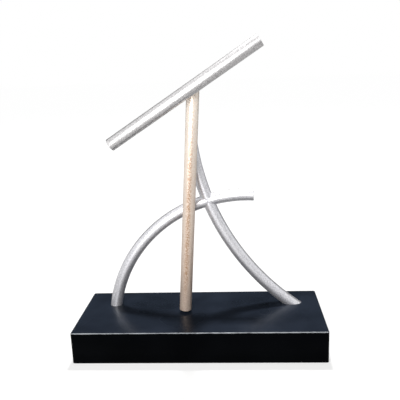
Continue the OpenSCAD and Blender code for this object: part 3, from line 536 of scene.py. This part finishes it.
def makeCasing():
    low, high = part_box("base_shell")
    ceiling = high.z - casing["deck"]
    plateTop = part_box("bottom_plate")[1].z
    shell = block(low, high)
    bevelEdges(shell, casing["corner"], 8, runsAlong(2))
    bevelEdges(shell, casing["edge"], 5, lambda a, b: min(a.z, b.z) > high.z - close)
    bevelEdges(shell, casing["rim"], 2, lambda a, b: max(a.z, b.z) < low.z + close)
    inner = Vector((casing["wall"], casing["wall"], 0))
    room = block(low + inner - Vector((0, 0, past)), Vector((high.x, high.y, ceiling)) - inner)
    combine(shell, room)
    posts, holes = [], []
    for solid in solidsOf("plate_screws"):
        place = middle(solid)
        wall = math.copysign(high.y - casing["wall"] / 2, place.y)
        posts.append(upright(place, plateTop, ceiling + past, casing["boss"]))
        posts.append(block((place.x - casing["ribHalf"], min(place.y, wall), plateTop),
                           (place.x + casing["ribHalf"], max(place.y, wall), ceiling + past)))
        holes.append(upright(place, plateTop - past, solid[1].z + past, casing["pilot"]))
    bossLow = ceiling - casing["footBossHigh"]
    for solid in solidsOf("foot_screws"):
        place = middle(solid)
        posts.append(upright(place, bossLow, ceiling + past, casing["footBoss"]))
        holes.append(upright(place, bossLow - past, high.z + past, casing["footHole"]))
    winding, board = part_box("coil_winding"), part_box("circuit_board")
    for solid in solidsOf("inner_screws"):
        place = middle(solid)
        if solid[1].z < casing["screwsFrom"] or place.y > high.y - casing["screwsFrom"]:
            continue  # those of the ballast, the battery box and the switch go elsewhere
        start = board[1].z if place.x > board[0].x else winding[0].z
        posts.append(upright(place, start, ceiling + past, casing["post"]))
        holes.append(upright(place, start - past, start + casing["postHoleDeep"], casing["postHole"]))
    for post in posts:
        combine(shell, post, "UNION")
    for hole in holes:
        combine(shell, hole)
    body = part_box("switch_body")
    margin = Vector((casing["recessSide"], 0, casing["recessAbove"]))
    recess = block(Vector((body[0].x, high.y - casing["recessDeep"], body[0].z)) - margin,
                   Vector((body[1].x, high.y + 2 * past, body[1].z)) + margin)
    bevelEdges(recess, casing["recessRound"], 5, runsAlong(1))
    combine(shell, recess)
    centre = middle(body)
    half = Vector((casing["slotWide"], 0, casing["slotHigh"])) / 2
    combine(shell, block(Vector((centre.x, high.y - casing["slotDeep"], centre.z)) - half,
                         Vector((centre.x, high.y + 2 * past, centre.z)) + half))
    finishPiece(shell, "casing", "blackLacquer", "base", "deck_black", "base_shell")


makeCasing()
print("casing made")

# Underside: the bottom plate, with the battery bay and sinks for its screws
plate = dict(edge=0.0005, bayGap=0.0003, headRoom=0.0002, shankRoom=0.0001)
screw = dict(
    sides=48, headRadius=0.003, headHigh=0.0017, shankRadius=0.00137, pointLong=0.0015,
    pointRadius=0.0004, lap=0.0001, crossLong=0.0036, crossWide=0.0007, crossDeep=0.001,
)


def makeBottomPlate():
    low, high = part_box("bottom_plate")
    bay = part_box("battery_door")
    gap = Vector((plate["bayGap"], plate["bayGap"], 2 * past))
    piece = roundEdges(block(low, high), plate["edge"])
    combine(piece, block(bay[0] - gap, Vector((bay[1].x, bay[1].y, high.z)) + gap))
    neck = low.z + screw["headHigh"]
    head = screw["headRadius"] + plate["headRoom"]
    shank = screw["shankRadius"] + plate["shankRoom"]
    for solid in solidsOf("plate_screws"):
        place = middle(solid)
        combine(piece, upright(place, low.z - screw["lap"], neck, head, screw["sides"], shank))
        combine(piece, upright(place, neck - screw["lap"], high.z + past, shank, screw["sides"]))
    finishPiece(piece, "bottomPlate", "mouldedBlack", "base", "plate_black", "bottom_plate")


def makePlateScrews():
    solids = solidsOf("plate_screws")
    places = [middle(solid) for solid in solids]
    place = places[0]
    low, high = solids[0][0].z, solids[0][1].z
    neck = low + screw["headHigh"]
    point = high - screw["pointLong"]
    shank, sides, lap = screw["shankRadius"], screw["sides"], screw["lap"]
    piece = upright(place, low, neck, screw["headRadius"], sides, shank)
    combine(piece, upright(place, neck - 2 * lap, point, shank, sides), "UNION")
    combine(piece, upright(place, point - lap, high, shank, sides, screw["pointRadius"]), "UNION")
    long, wide = screw["crossLong"] / 2, screw["crossWide"] / 2
    for reach in (Vector((long, wide, 0)), Vector((wide, long, 0))):
        combine(piece, block(Vector((place.x, place.y, low - past)) - reach,
                             Vector((place.x, place.y, low + screw["crossDeep"])) + reach))
    finishPiece(repeated(piece, places), "plateScrews", "zincScrew", "base", "screw_steel",
                "plate_screws")


# Battery door: a panel with grip slots, and two tongues that hold it
door = dict(
    edge=0.0004, thick=0.002, grips=5, gripWide=0.0011, gripLong=0.016, gripStep=0.0024,
    gripStart=0.006, gripDeep=0.0007, gripRound=0.48,
    tongueHalf=0.008, tongueThick=0.0012, tongueStart=0.001, tongueEdge=0.0003,
)


def makeBatteryDoor():
    low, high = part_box("battery_door")
    panel = roundEdges(block(low, (high.x, high.y, low.z + door["thick"])), door["edge"])
    half = door["gripLong"] / 2
    grips = []
    for index in range(door["grips"]):
        place = low.x + door["gripStart"] + index * door["gripStep"]
        slot = block((place, -half, low.z - past),
                     (place + door["gripWide"], half, low.z + door["gripDeep"]))
        bevelEdges(slot, door["gripWide"] * door["gripRound"], 4, runsAlong(2))
        grips.append(slot)
    combine(panel, joined(grips))
    centre = (low.x + high.x) / 2
    half = door["tongueHalf"]
    for side in (-1, 1):
        near, far = sorted((side * high.y, side * (high.y - door["tongueThick"])))
        tongue = block((centre - half, near, low.z + door["tongueStart"]), (centre + half, far, high.z))
        combine(panel, roundEdges(tongue, door["tongueEdge"], 2), "UNION")
    finishPiece(panel, "batteryDoor", "mouldedBlack", "battery_door", "box_black", "battery_door")


# Feet: tapered rubber discs, hollowed below
foot = dict(taper=0.0005, edge=0.0005, border=0.0016, slope=0.0004, cup=0.0004)


def makeFeet():
    solids = solidsOf("rubber_feet")
    places = [middle(solid) for solid in solids]
    low, high = solids[0]
    radius = (high.x - low.x) / 2
    piece = upright(places[0], 0, high.z, radius - foot["taper"], 64, radius)
    bevelEdges(piece, foot["edge"], 3, lambda a, b: max(a.z, b.z) < close)
    sinkEnd(piece, Vector((0, 0, -1)), foot["border"], foot["slope"], foot["cup"])
    finishPiece(repeated(piece, places), "feet", "footRubber", "base", "foot_rubber", "rubber_feet")


makeBottomPlate()
makeBatteryDoor()
makeFeet()
makePlateScrews()
print("underside made")

# Arms: round tubes bent in one upright plane. Turns are in radians about the centre of the bend
arm = dict(
    radius=0.0075, wall=0.0015, sides=72, lip=0.0004, lipAngle=60, step=0.75,
    tallBend=0.310, tallFoot=0.115, tallOver=0.0095, archBend=0.1725, archFoot=-0.1115,
    archHigh=0.143, archEnd=0.069, footSpare=0.09, tipSpare=0.06, faceExact=0.000001, rimStep=0.0012,
    weldGap=0.00005, weldTurn=0.1, bead=0.0006, beadPoints=96,
    capGap=0.00005, capEdge=0.0003, capLong=0.006, capSunk=0.0006, capSpare=0.05, tipSunk=0.0002,
    cutHalf=0.03, cutLong=0.2, cutDeep=0.06, tipLow=0.1, tipHigh=0.25, tipLong=0.05,
)
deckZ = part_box("base_shell")[1].z
armY = middle(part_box("tall_arm")).y


def arcCentre(foot, head, bend):
    # centre, on the right of the line from foot to head, of an arc through both
    half = (head - foot) / 2
    outwards = Vector((half.y, -half.x)).normalized()
    return foot + half + outwards * math.sqrt(bend ** 2 - half.length_squared)


def angleAt(centre, point):
    return math.atan2(point.y - centre.y, point.x - centre.x) % (2 * math.pi)


def circlesMeet(centre, bend, other, otherBend):
    # the left one of the two points where two circles cross
    between = other - centre
    along = (between.length_squared + bend ** 2 - otherBend ** 2) / (2 * between.length)
    aside = math.sqrt(bend ** 2 - along ** 2)
    unit = between.normalized()
    points = [centre + unit * along + Vector((-unit.y, unit.x)) * side * aside for side in (-1, 1)]
    return min(points, key=lambda point: point.x)


tallFoot = Vector((arm["tallFoot"], deckZ))
tallHead = Vector((mainPivot.x, mainPivot.z))
tallCentre = arcCentre(tallFoot, tallHead, arm["tallBend"])
archFoot = Vector((arm["archFoot"], deckZ))
archCentreZ = deckZ + arm["archHigh"] - arm["archBend"]
archHalf = math.sqrt(arm["archBend"] ** 2 - (deckZ - archCentreZ) ** 2)
archCentre = Vector((arm["archFoot"] + archHalf, archCentreZ))
tallArc = (tallCentre, arm["tallBend"])
archArc = (archCentre, arm["archBend"])
crossing = circlesMeet(*archArc, *tallArc)
tallFootAngle = angleAt(tallCentre, tallFoot)
tallTopAngle = angleAt(tallCentre, tallHead) - arm["tallOver"] / arm["tallBend"]
tallCrossAngle = angleAt(tallCentre, crossing)
archFootAngle = angleAt(archCentre, archFoot)
archCrossAngle = angleAt(archCentre, crossing)
archEndAngle = math.acos((arm["archEnd"] - archCentre.x) / arm["archBend"])


def bentTube(arc, start, stop, radius, wall=0.0):
    # one ring of points spun about the arc's centre; a tube where wall is given, else a closed bar
    centre, bend = arc
    tangent = Vector((-math.sin(start), 0, math.cos(start)))
    deselect()
    bpy.ops.mesh.primitive_circle_add(
        vertices=arm["sides"], radius=radius,
        location=(centre.x + bend * math.cos(start), armY, centre.y + bend * math.sin(start)),
        rotation=tangent.to_track_quat("Z", "Y").to_euler())
    piece = bake(bpy.context.object)
    edit(piece, "EDGE")
    bpy.ops.mesh.select_all(action="SELECT")
    bpy.ops.mesh.spin(
        steps=max(4, round(math.degrees(abs(stop - start)) / arm["step"])), angle=stop - start,
        center=(centre.x, armY, centre.y), axis=(0, 1, 0))
    if not wall:
        bpy.ops.mesh.select_all(action="DESELECT")
        bpy.ops.mesh.select_non_manifold()
        bpy.ops.mesh.edge_face_add()
    tidyNormals(piece)
    return thicken(piece, wall) if wall else piece


def belowDeck():
    return block((-arm["cutLong"], armY - arm["cutHalf"], deckZ - arm["cutDeep"]),
                 (arm["cutLong"], armY + arm["cutHalf"], deckZ))


def pastTip(start):
    return block((start, armY - arm["cutHalf"], arm["tipLow"]),
                 (arm["archEnd"] + arm["tipLong"], armY + arm["cutHalf"], arm["tipHigh"]))


def makeTallArm():
    tube = bentTube(tallArc, tallTopAngle, tallFootAngle + arm["footSpare"], arm["radius"], arm["wall"])
    roundEdges(tube, arm["lip"], 3, arm["lipAngle"])
    combine(tube, belowDeck())
    boreAcross(tube, Vector((mainPivot.x, armY, mainPivot.z)))
    finishPiece(tube, "tallArm", "satinArm", "base", "arm_silver", "tall_arm")


def makeArch():
    left = bentTube(archArc, archCrossAngle, archFootAngle + arm["footSpare"], arm["radius"], arm["wall"])
    combine(left, belowDeck())
    right = bentTube(archArc, archEndAngle - arm["tipSpare"], archCrossAngle, arm["radius"], arm["wall"])
    combine(right, pastTip(arm["archEnd"]))
    # the two rims of the cut face, without the edges that join one rim to the other
    bevelEdges(right, arm["lip"], 3, lambda a, b: (
        min(a.x, b.x) > arm["archEnd"] - arm["faceExact"] and (a - b).length < arm["rimStep"]))
    turn = arm["weldTurn"]
    for piece, name, replaced in ((left, "archArm", "arch_arm"), (right, "archTip", "arch_tip")):
        combine(piece, bentTube(tallArc, tallCrossAngle - turn, tallCrossAngle + turn,
                                arm["radius"] + arm["weldGap"]))
        finishPiece(piece, name, "satinArm", "base", "arm_silver", replaced)


def makeSeams():
    # a thin bead along each line where the arch meets the tall arm
    for side, name in ((1, "seamLeft"), (-1, "seamRight")):
        line = bpy.data.curves.new(name, "CURVE")
        line.dimensions = "3D"
        line.bevel_depth = arm["bead"]
        line.bevel_resolution = 3
        path = line.splines.new("POLY")
        path.points.add(arm["beadPoints"] - 1)
        for index in range(arm["beadPoints"]):
            turn = 2 * math.pi * index / arm["beadPoints"]
            reach = arm["radius"] * math.cos(turn)
            spot = circlesMeet(archCentre, arm["archBend"] + reach,
                               tallCentre, arm["tallBend"] + side * abs(reach))
            path.points[index].co = (spot.x, armY + arm["radius"] * math.sin(turn), spot.y, 1)
        path.use_cyclic_u = True
        only(newObject(name, line))
        bpy.ops.object.convert(target="MESH")
        finishPiece(bpy.context.object, name, "satinArm", "base", "arm_silver", angle=arm["lipAngle"])


def makeArmCaps():
    radius = arm["radius"] - arm["wall"] - arm["capGap"]
    cap = bentTube(tallArc, tallTopAngle + arm["capSunk"],
                   tallTopAngle + arm["capLong"] / arm["tallBend"], radius)
    end = bentTube(archArc, archEndAngle - arm["capSpare"],
                   archEndAngle + arm["capLong"] / arm["archBend"], radius)
    combine(end, pastTip(arm["archEnd"] - arm["tipSunk"]))
    for piece, name, replaced in (
            (cap, "tallArmCap", "tall_arm_cap"), (end, "archEndCap", "arch_end_cap")):
        roundEdges(piece, arm["capEdge"], 2, arm["lipAngle"])
        finishPiece(piece, name, "turnedAluminium", "base", "end_silver", replaced)


makeTallArm()
makeArch()
makeSeams()
makeArmCaps()
print("arms made")

# Sticks: straight tubes with plugged ends, each with a bearing seat bored from the back
stick = dict(
    radius=0.0075, wall=0.0015, sides=96, lip=0.0004, lipAngle=60, ringBore=0.00451,
    longBelow=0.1996, longAbove=0.078, shortLong=0.1138, shortShort=0.0897,
    plugGap=0.00005, plugLip=0.0004, plugLong=0.006, dish=0.0025, dishSlope=0.0003, dishDeep=0.00035,
    lowPlugLong=0.010, pocketFrom=0.0006, pocketLong=0.00505, pocketRadius=0.00455, highPlugLong=0.0124,
)
longAlong = topPivot - mainPivot
longAlong.y = 0
longAlong.normalize()
shortAlong = Vector((math.sin(shortTurn), 0, math.cos(shortTurn)))
topOnLong = mainPivot + longAlong * (topPivot - mainPivot).dot(longAlong)


def straightTube(start, end):
    tube = tidyNormals(rod(start, end, stick["radius"], stick["sides"], ends="NOTHING"))
    return roundEdges(thicken(tube, stick["wall"]), stick["lip"], 3, stick["lipAngle"])


def endPlug(outer, along, length):
    # along points out of the tube
    radius = stick["radius"] - stick["wall"] - stick["plugGap"]
    plug = rod(outer - along * length, outer, radius, stick["sides"])
    bevelEdges(plug, stick["plugLip"], 3, lambda a, b: (
        min((a - outer).dot(along), (b - outer).dot(along)) > -close))
    sinkEnd(plug, along, radius - stick["plugLip"] - stick["dish"], stick["dishSlope"], stick["dishDeep"])
    return plug


def makeLongStick():
    low, high = mainPivot - longAlong * stick["longBelow"], mainPivot + longAlong * stick["longAbove"]
    tube = straightTube(low, high)
    combine(tube, alongY(mainPivot, 0, through, stick["ringBore"]))
    boreAcross(tube, topOnLong)
    finishPiece(tube, "longStick", "champagneTube", "long_stick", "stick_champagne", "long_tube")
    # the low plug holds the magnet, the high one is crossed by the upper axle
    plug = endPlug(low, -longAlong, stick["lowPlugLong"])
    pocket = low + longAlong * stick["pocketFrom"]
    combine(plug, rod(pocket, pocket + longAlong * stick["pocketLong"], stick["pocketRadius"]))
    finishPiece(plug, "longStickPlugLow", "turnedAluminium", "long_stick", "plug_steel", "bottom_plug")
    plug = boreAcross(endPlug(high, longAlong, stick["highPlugLong"]), topOnLong)
    finishPiece(plug, "longStickPlugTop", "turnedAluminium", "long_stick", "plug_aluminium", "top_plug")


def makeShortStick():
    low, high = topPivot - shortAlong * stick["shortLong"], topPivot + shortAlong * stick["shortShort"]
    tube = straightTube(low, high)
    combine(tube, alongY(topPivot, 0, through, stick["ringBore"]))
    finishPiece(tube, "shortStick", "silverTube", "short_stick", "stick_silver", "short_tube")
    for outer, along, name, replaced in (
            (low, -shortAlong, "shortStickPlugLeft", "short_plug_long_end"),
            (high, shortAlong, "shortStickPlugRight", "short_plug_short_end")):
        finishPiece(endPlug(outer, along, stick["plugLong"]), name, "turnedAluminium", "short_stick",
                    "end_silver", replaced)


makeLongStick()
makeShortStick()
print("sticks made")

# Pivots: spacer, saddle and dome nut on the carrying tube, and a closing ring in the turning one's back
pivot = dict(
    spacerRadius=0.004, noseRadius=0.0022, noseStart=0.004, bodyStart=0.0083, into=0.0026,
    copeGap=0.00001, copeHalf=0.02, bore=0.00151, boreHalf=0.004, edge=0.0003,
    edgeCut=0.3, groove=0.00028, grooveAt=(0.3, 0.55), slope=0.4, saddleHigh=0.001,
    nutWide=0.0055, nutHigh=0.0023, nutRound=0.00305, nutEdge=0.0004, nutBoreDeep=0.0035,
    domeRadius=0.00255, domeSunk=0.00025, domeFrom=0.0003, domeCut=0.004,
    ringInner=0.0027, ringOuter=0.0045, ringStart=0.004, ringEnd=0.0062, ringEdge=0.0002,
    holeRadius=0.0004, holeDeep=0.001, mainGap=0.009, topGap=0.005,
)


def turned(place, outline, sides=64):
    # a plane merged to one point, extruded round a closed outline and then spun about the axle
    # outline lists distances along the axle and out from it
    corners = [place + Vector((out, along, 0)) for along, out in outline]
    deselect()
    bpy.ops.mesh.primitive_plane_add(size=past, location=corners[0])
    piece = bake(bpy.context.object)
    edit(piece, "VERT")
    bpy.ops.mesh.select_all(action="SELECT")
    bpy.ops.mesh.merge(type="CENTER")
    for corner, following in zip(corners, corners[1:] + corners[:1]):
        bpy.ops.mesh.extrude_region_move(TRANSFORM_OT_translate={"value": following - corner})
    bpy.ops.mesh.select_all(action="SELECT")
    bpy.ops.mesh.remove_doubles(threshold=merge)
    bpy.ops.mesh.spin(steps=sides, angle=2 * math.pi, use_auto_merge=True, center=place, axis=(0, 1, 0))
    return tidyNormals(piece)


def makeSpacer(place, near, carrier):
    # a stepped nose for the bearing, a body with two grooves, and an end cut to sit on the tube
    nose, radius, bore = pivot["noseRadius"], pivot["spacerRadius"], pivot["bore"]
    start, end = pivot["bodyStart"], near + pivot["into"]
    edge, cut, groove, slope = (pivot[key] for key in ("edge", "edgeCut", "groove", "slope"))
    outline = [(pivot["noseStart"], bore), (pivot["noseStart"], nose), (start, nose),
               (start, radius - edge), (start + edge * cut, radius - edge * cut), (start + edge, radius)]
    for share in pivot["grooveAt"]:
        at = start + share * (near - start)
        outline += [(at, radius), (at + groove * slope, radius - groove),
                    (at + groove * (2 - slope), radius - groove), (at + groove * 2, radius)]
    outline += [(end, radius), (end, bore)]
    return combine(turned(place, outline), carrier())


def makeSaddle(place, back, carrier):
    saddle = alongY(place, back - pivot["into"], back + pivot["saddleHigh"], pivot["spacerRadius"])
    roundEdges(saddle, pivot["edge"])
    half = pivot["boreHalf"]
    combine(saddle, alongY(place, back - half, back + half, pivot["bore"], 32))
    return combine(saddle, carrier())


def makeDomeNut(place, start):
    top = start + pivot["nutHigh"]
    nut = alongY(place, start, top, pivot["nutWide"] / math.sqrt(3), 6)
    combine(nut, roundEdges(alongY(place, start, top, pivot["nutRound"]), pivot["nutEdge"]), "INTERSECT")
    deselect()
    bpy.ops.mesh.primitive_uv_sphere_add(
        segments=48, ring_count=24, radius=pivot["domeRadius"], rotation=(math.pi / 2, 0, 0),
        location=place + Vector((0, top - pivot["domeSunk"], 0)))
    dome = bake(bpy.context.object)
    combine(dome, alongY(place, start - 2 * past, top - pivot["domeFrom"], pivot["domeCut"]))
    combine(nut, dome, "UNION")
    return combine(nut, alongY(place, start - past, start + pivot["nutBoreDeep"], pivot["bore"], 32))


def makeClosingRing(place):
    start, end = pivot["ringStart"], pivot["ringEnd"]
    ring = alongY(place, start, end, pivot["ringOuter"])
    combine(ring, alongY(place, start - past, end + past, pivot["ringInner"]))
    roundEdges(ring, pivot["ringEdge"], 2)
    for side in (-1, 1):
        spot = place + Vector((side * (pivot["ringInner"] + pivot["ringOuter"]) / 2, 0, 0))
        combine(ring, alongY(spot, end - pivot["holeDeep"], end + past, pivot["holeRadius"], 16))
    return ring


def tallArmBar():
    return bentTube(tallArc, tallTopAngle, tallTopAngle + arm["weldTurn"],
                    arm["radius"] + pivot["copeGap"])


def longStickBar():
    half = longAlong * pivot["copeHalf"]
    return rod(topOnLong - half, topOnLong + half, stick["radius"] + pivot["copeGap"], stick["sides"])


def makePivots():
    for which, place, gap, bar, carrier, turning in (
            ("main", mainPivot, pivot["mainGap"], tallArmBar, "base", "long_stick"),
            ("top", topPivot, pivot["topGap"], longStickBar, "long_stick", "short_stick")):
        near = stick["radius"] + gap
        back = near + 2 * stick["radius"]
        for part, piece, body, look, slot in (
                ("Spacer", makeSpacer(place, near, bar), carrier, "satinSteel", "axle_steel"),
                ("Saddle", makeSaddle(place, back, bar), carrier, "satinSteel", "axle_steel"),
                ("Nut", makeDomeNut(place, back + pivot["saddleHigh"]), carrier,
                 "brightSteel", "bearing_steel"),
                ("Ring", makeClosingRing(place), turning, "satinSteel", "axle_steel")):
            finishPiece(piece, which + part, look, body, slot, which + "_" + part.lower())


makePivots()
print("pivots made")

# Power switch in the rear wall: a ridged slider
slider = dict(ridges=4, ridgeStep=0.0011, ridgeWide=0.0005, ridgeDeep=0.0003)


def makeSlider():
    # the CAD node gives the outline, and grooves are cut across its tip
    tip = tidyNormals(copyOf(frame["nodes"]["switch_slider"]))
    low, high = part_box("switch_slider")
    centre = (low.x + high.x) / 2
    half = slider["ridgeWide"] / 2
    for index in range(slider["ridges"]):
        across = centre + (index - (slider["ridges"] - 1) / 2) * slider["ridgeStep"]
        combine(tip, block((across - half, high.y - slider["ridgeDeep"], low.z - past),
                           (across + half, high.y + past, high.z + past)))
    finishPiece(tip, "switchSlider", "sliderRed", "power_switch", "slider_red", "switch_slider")


makeSlider()
print("switch made")

# Finishes of the pieces carried over from the model, which show when a cover is off
insideDepth = 0.00008
inside = dict(
    mouldedBox=dict(dark=(0.016, 0.016, 0.017), light=(0.028, 0.028, 0.030), roughness=0.5),
    millSteel=dict(dark=(0.17, 0.17, 0.18), light=(0.26, 0.26, 0.27), roughness=0.42,
                   metallic=0.9, scale=350.0),
    ivoryNylon=dict(dark=(0.56, 0.51, 0.39), light=(0.66, 0.61, 0.49), roughness=0.5),
    boardGreen=dict(dark=(0.010, 0.075, 0.030), light=(0.022, 0.13, 0.055), roughness=0.35,
                    scale=500.0, relief=0.3),
    cellJacket=dict(dark=(0.014, 0.022, 0.036), light=(0.030, 0.044, 0.068), roughness=0.3,
                    metallic=0.3, scale=700.0, relief=0.1),
)
carried = dict(
    mouldedBox=("battery_box", "switch_body", "board_components"),
    millSteel=("ballast_plate", "coil_core", "balance_weight"),
    ivoryNylon=("coil_bobbin",),
    boardGreen=("circuit_board",),
    cellJacket=("battery_cells",),
    leadRed=("battery_leads",),
    leadBlue=("switch_leads",),
    springNickel=("contact_springs", "contact_plates", "drive_magnet"),
    woundCopper=("coil_winding", "coil_leads"),
    zincScrew=("inner_screws", "foot_screws", "foot_washers", "cross_stud"),
    turnedAluminium=("tall_foot_plug", "arm_pivot_plug", "arch_foot_plug", "cross_plugs"),
    satinSteel=("long_hub", "short_hub", "main_axle", "top_axle"),
    brightSteel=("main_bearing_inner", "main_bearing_outer", "top_bearing_inner", "top_bearing_outer"),
)
copper = dict(
    light=(0.42, 0.13, 0.045), groove=(0.20, 0.050, 0.018), crest=(0.50, 0.17, 0.06),
    patch=(0.36, 0.11, 0.04), patchScale=160.0, patchDetail=3.0, roughness=0.3, metallic=0.9,
    turns=900.0, waver=1.2, waverDetail=2.0, waverScale=0.4, turnSpan=(0.2, 0.8),
    between=0.42, onWire=0.24, relief=0.5, depth=0.0002,
)


def woundCopper():
    # enamelled wire: fine turns stacked along Z, warm and uneven
    material, tree, shader = newMaterial("woundCopper", copper)
    point = objectPoint(tree)
    inputs = {"Vector": point, "Scale": copper["turns"], "Distortion": copper["waver"],
              "Detail": copper["waverDetail"], "Detail Scale": copper["waverScale"]}
    turns = node(tree, "TexWave", inputs, wave_type="BANDS", bands_direction="Z")["Fac"]
    tone = ramp(turns, copper["groove"], copper["crest"], *copper["turnSpan"])
    patches = noise(point, copper["patchScale"], copper["patchDetail"])
    finishShader(shader, mix(patches, tone, copper["patch"]),
                 spread(turns, copper["between"], copper["onWire"]), turns, copper)
    return material


def dressInside():
    finish["woundCopper"] = woundCopper()
    for name, look in inside.items():
        finish[name] = grained(name, look | dict(depth=insideDepth))
    for name, nodes in carried.items():
        for part in nodes:
            for slot in frame["nodes"][part].material_slots:
                slot.material = finish[name]


dressInside()
print("inside pieces dressed")

# Floor and light
studio = dict(
    floor=0.35, floorSize=30, bounce=0.25, shade=0.1, glowNear=0.66, glowFar=0.96, glowSpan=(0.35, 1.6),
    screen=0.02, screenHigh=(0.55, 0.85), screenWide=(0.25, 0.6), room=0.86, roomSpan=(0.3, 0.9),
    floorRoom=0.38, floorRoomSpan=(0.1, 0.5), mirrorNear=0.08, mirrorSpan=(0.3, 2.5),
    lampColour=(1.0, 0.99, 0.98),
)
lamps = dict(
    over=dict(place=(0.02, 0.46, 1.50), aim=(0.0, 0.0, 0.1), size=0.16, power=27.0),
    front=dict(place=(-0.25, -0.98, 0.48), aim=(0.0, 0.0, 0.2), size=0.6, power=13.0),
)


def backgroundRays(path):
    # one where the ray comes from the camera or from a mirror or glass, else nought
    shiny = calc("MAXIMUM", path["Is Glossy Ray"], path["Is Transmission Ray"])
    return calc("MAXIMUM", path["Is Camera Ray"], shiny)


def whiteSky(tree, strength):
    return node(tree, "Background", {"Color": (1, 1, 1, 1), "Strength": strength})[0]


def makeWorld():
    world = bpy.data.worlds.new("studio")
    bpy.context.scene.world = world
    world.use_nodes = True
    tree = world.node_tree
    tree.nodes.remove(tree.nodes["Background"])
    # mirrors and glass see a white room, with a dark screen behind the object and a duller wall before it
    axes = node(tree, "SeparateXYZ", {0: node(tree, "TexCoord", {})["Generated"]})
    below = spread(axes["Z"], 1.0, 0.0, *studio["screenHigh"])
    behind = spread(axes["Y"], 0.0, 1.0, *studio["screenWide"])
    screen = spread(calc("MULTIPLY", below, behind), 1.0, studio["screen"])
    forwards = calc("MULTIPLY", axes["Y"], -1.0)
    wall = calc("MINIMUM", screen, spread(forwards, 1.0, studio["room"], *studio["roomSpan"]))
    path = node(tree, "LightPath", {})
    bright = whiteSky(tree, calc("MAXIMUM", wall, path["Is Camera Ray"]))
    both = mixShaders(backgroundRays(path), whiteSky(tree, studio["shade"]), bright)
    tree.links.new(both, tree.nodes["World Output"].inputs["Surface"])


def matt(tree, grey):
    return node(tree, "BsdfDiffuse", {"Color": (grey, grey, grey, 1)})[0]


def makeFloor():
    deselect()
    bpy.ops.mesh.primitive_plane_add(size=studio["floorSize"])
    floor = bpy.context.object
    floor.name = "floor"
    paper = bpy.data.materials.new("paleFloor")
    paper.use_nodes = True
    tree = paper.node_tree
    tree.nodes.remove(tree.nodes["Principled BSDF"])
    point = objectPoint(tree)
    away = node(tree, "VectorMath", {0: point}, operation="LENGTH")["Value"]
    forwards = calc("MULTIPLY", node(tree, "SeparateXYZ", {0: point})["Y"], -1.0)
    # a mirror sees the floor darker near the object and in front of it than the camera does
    room = spread(forwards, 1.0, studio["floorRoom"], *studio["floorRoomSpan"])
    near = spread(away, studio["mirrorNear"], studio["glowFar"], *studio["mirrorSpan"])
    plain = spread(away, studio["glowNear"], studio["glowFar"], *studio["glowSpan"])
    path = node(tree, "LightPath", {})
    direct = calc("MULTIPLY", plain, path["Is Camera Ray"])
    mirrored = calc("MULTIPLY", calc("MULTIPLY", room, near), path["Is Glossy Ray"])
    glow = node(tree, "Emission", {"Strength": calc("ADD", direct, mirrored)})[0]
    lit = node(tree, "AddShader", {0: matt(tree, studio["floor"]), 1: glow})[0]
    seen = mixShaders(backgroundRays(path), matt(tree, studio["bounce"]), lit)
    # clear from below, so that the underside can be looked at
    fromBelow = node(tree, "NewGeometry", {})["Backfacing"]
    whole = mixShaders(fromBelow, seen, node(tree, "BsdfTransparent", {})[0])
    tree.links.new(whole, tree.nodes["Material Output"].inputs["Surface"])
    floor.data.materials.append(paper)


def makeLamps():
    for name, lamp in lamps.items():
        light = bpy.data.lights.new(name, "AREA")
        light.size = lamp["size"]
        light.energy = lamp["power"]
        light.color = studio["lampColour"]
        holder = newObject(name, light)
        holder.location = lamp["place"]
        aim = Vector(lamp["aim"]) - Vector(lamp["place"])
        holder.rotation_euler = aim.to_track_quat("-Z", "Y").to_euler()


makeWorld()
makeFloor()
makeLamps()
print("studio lit")
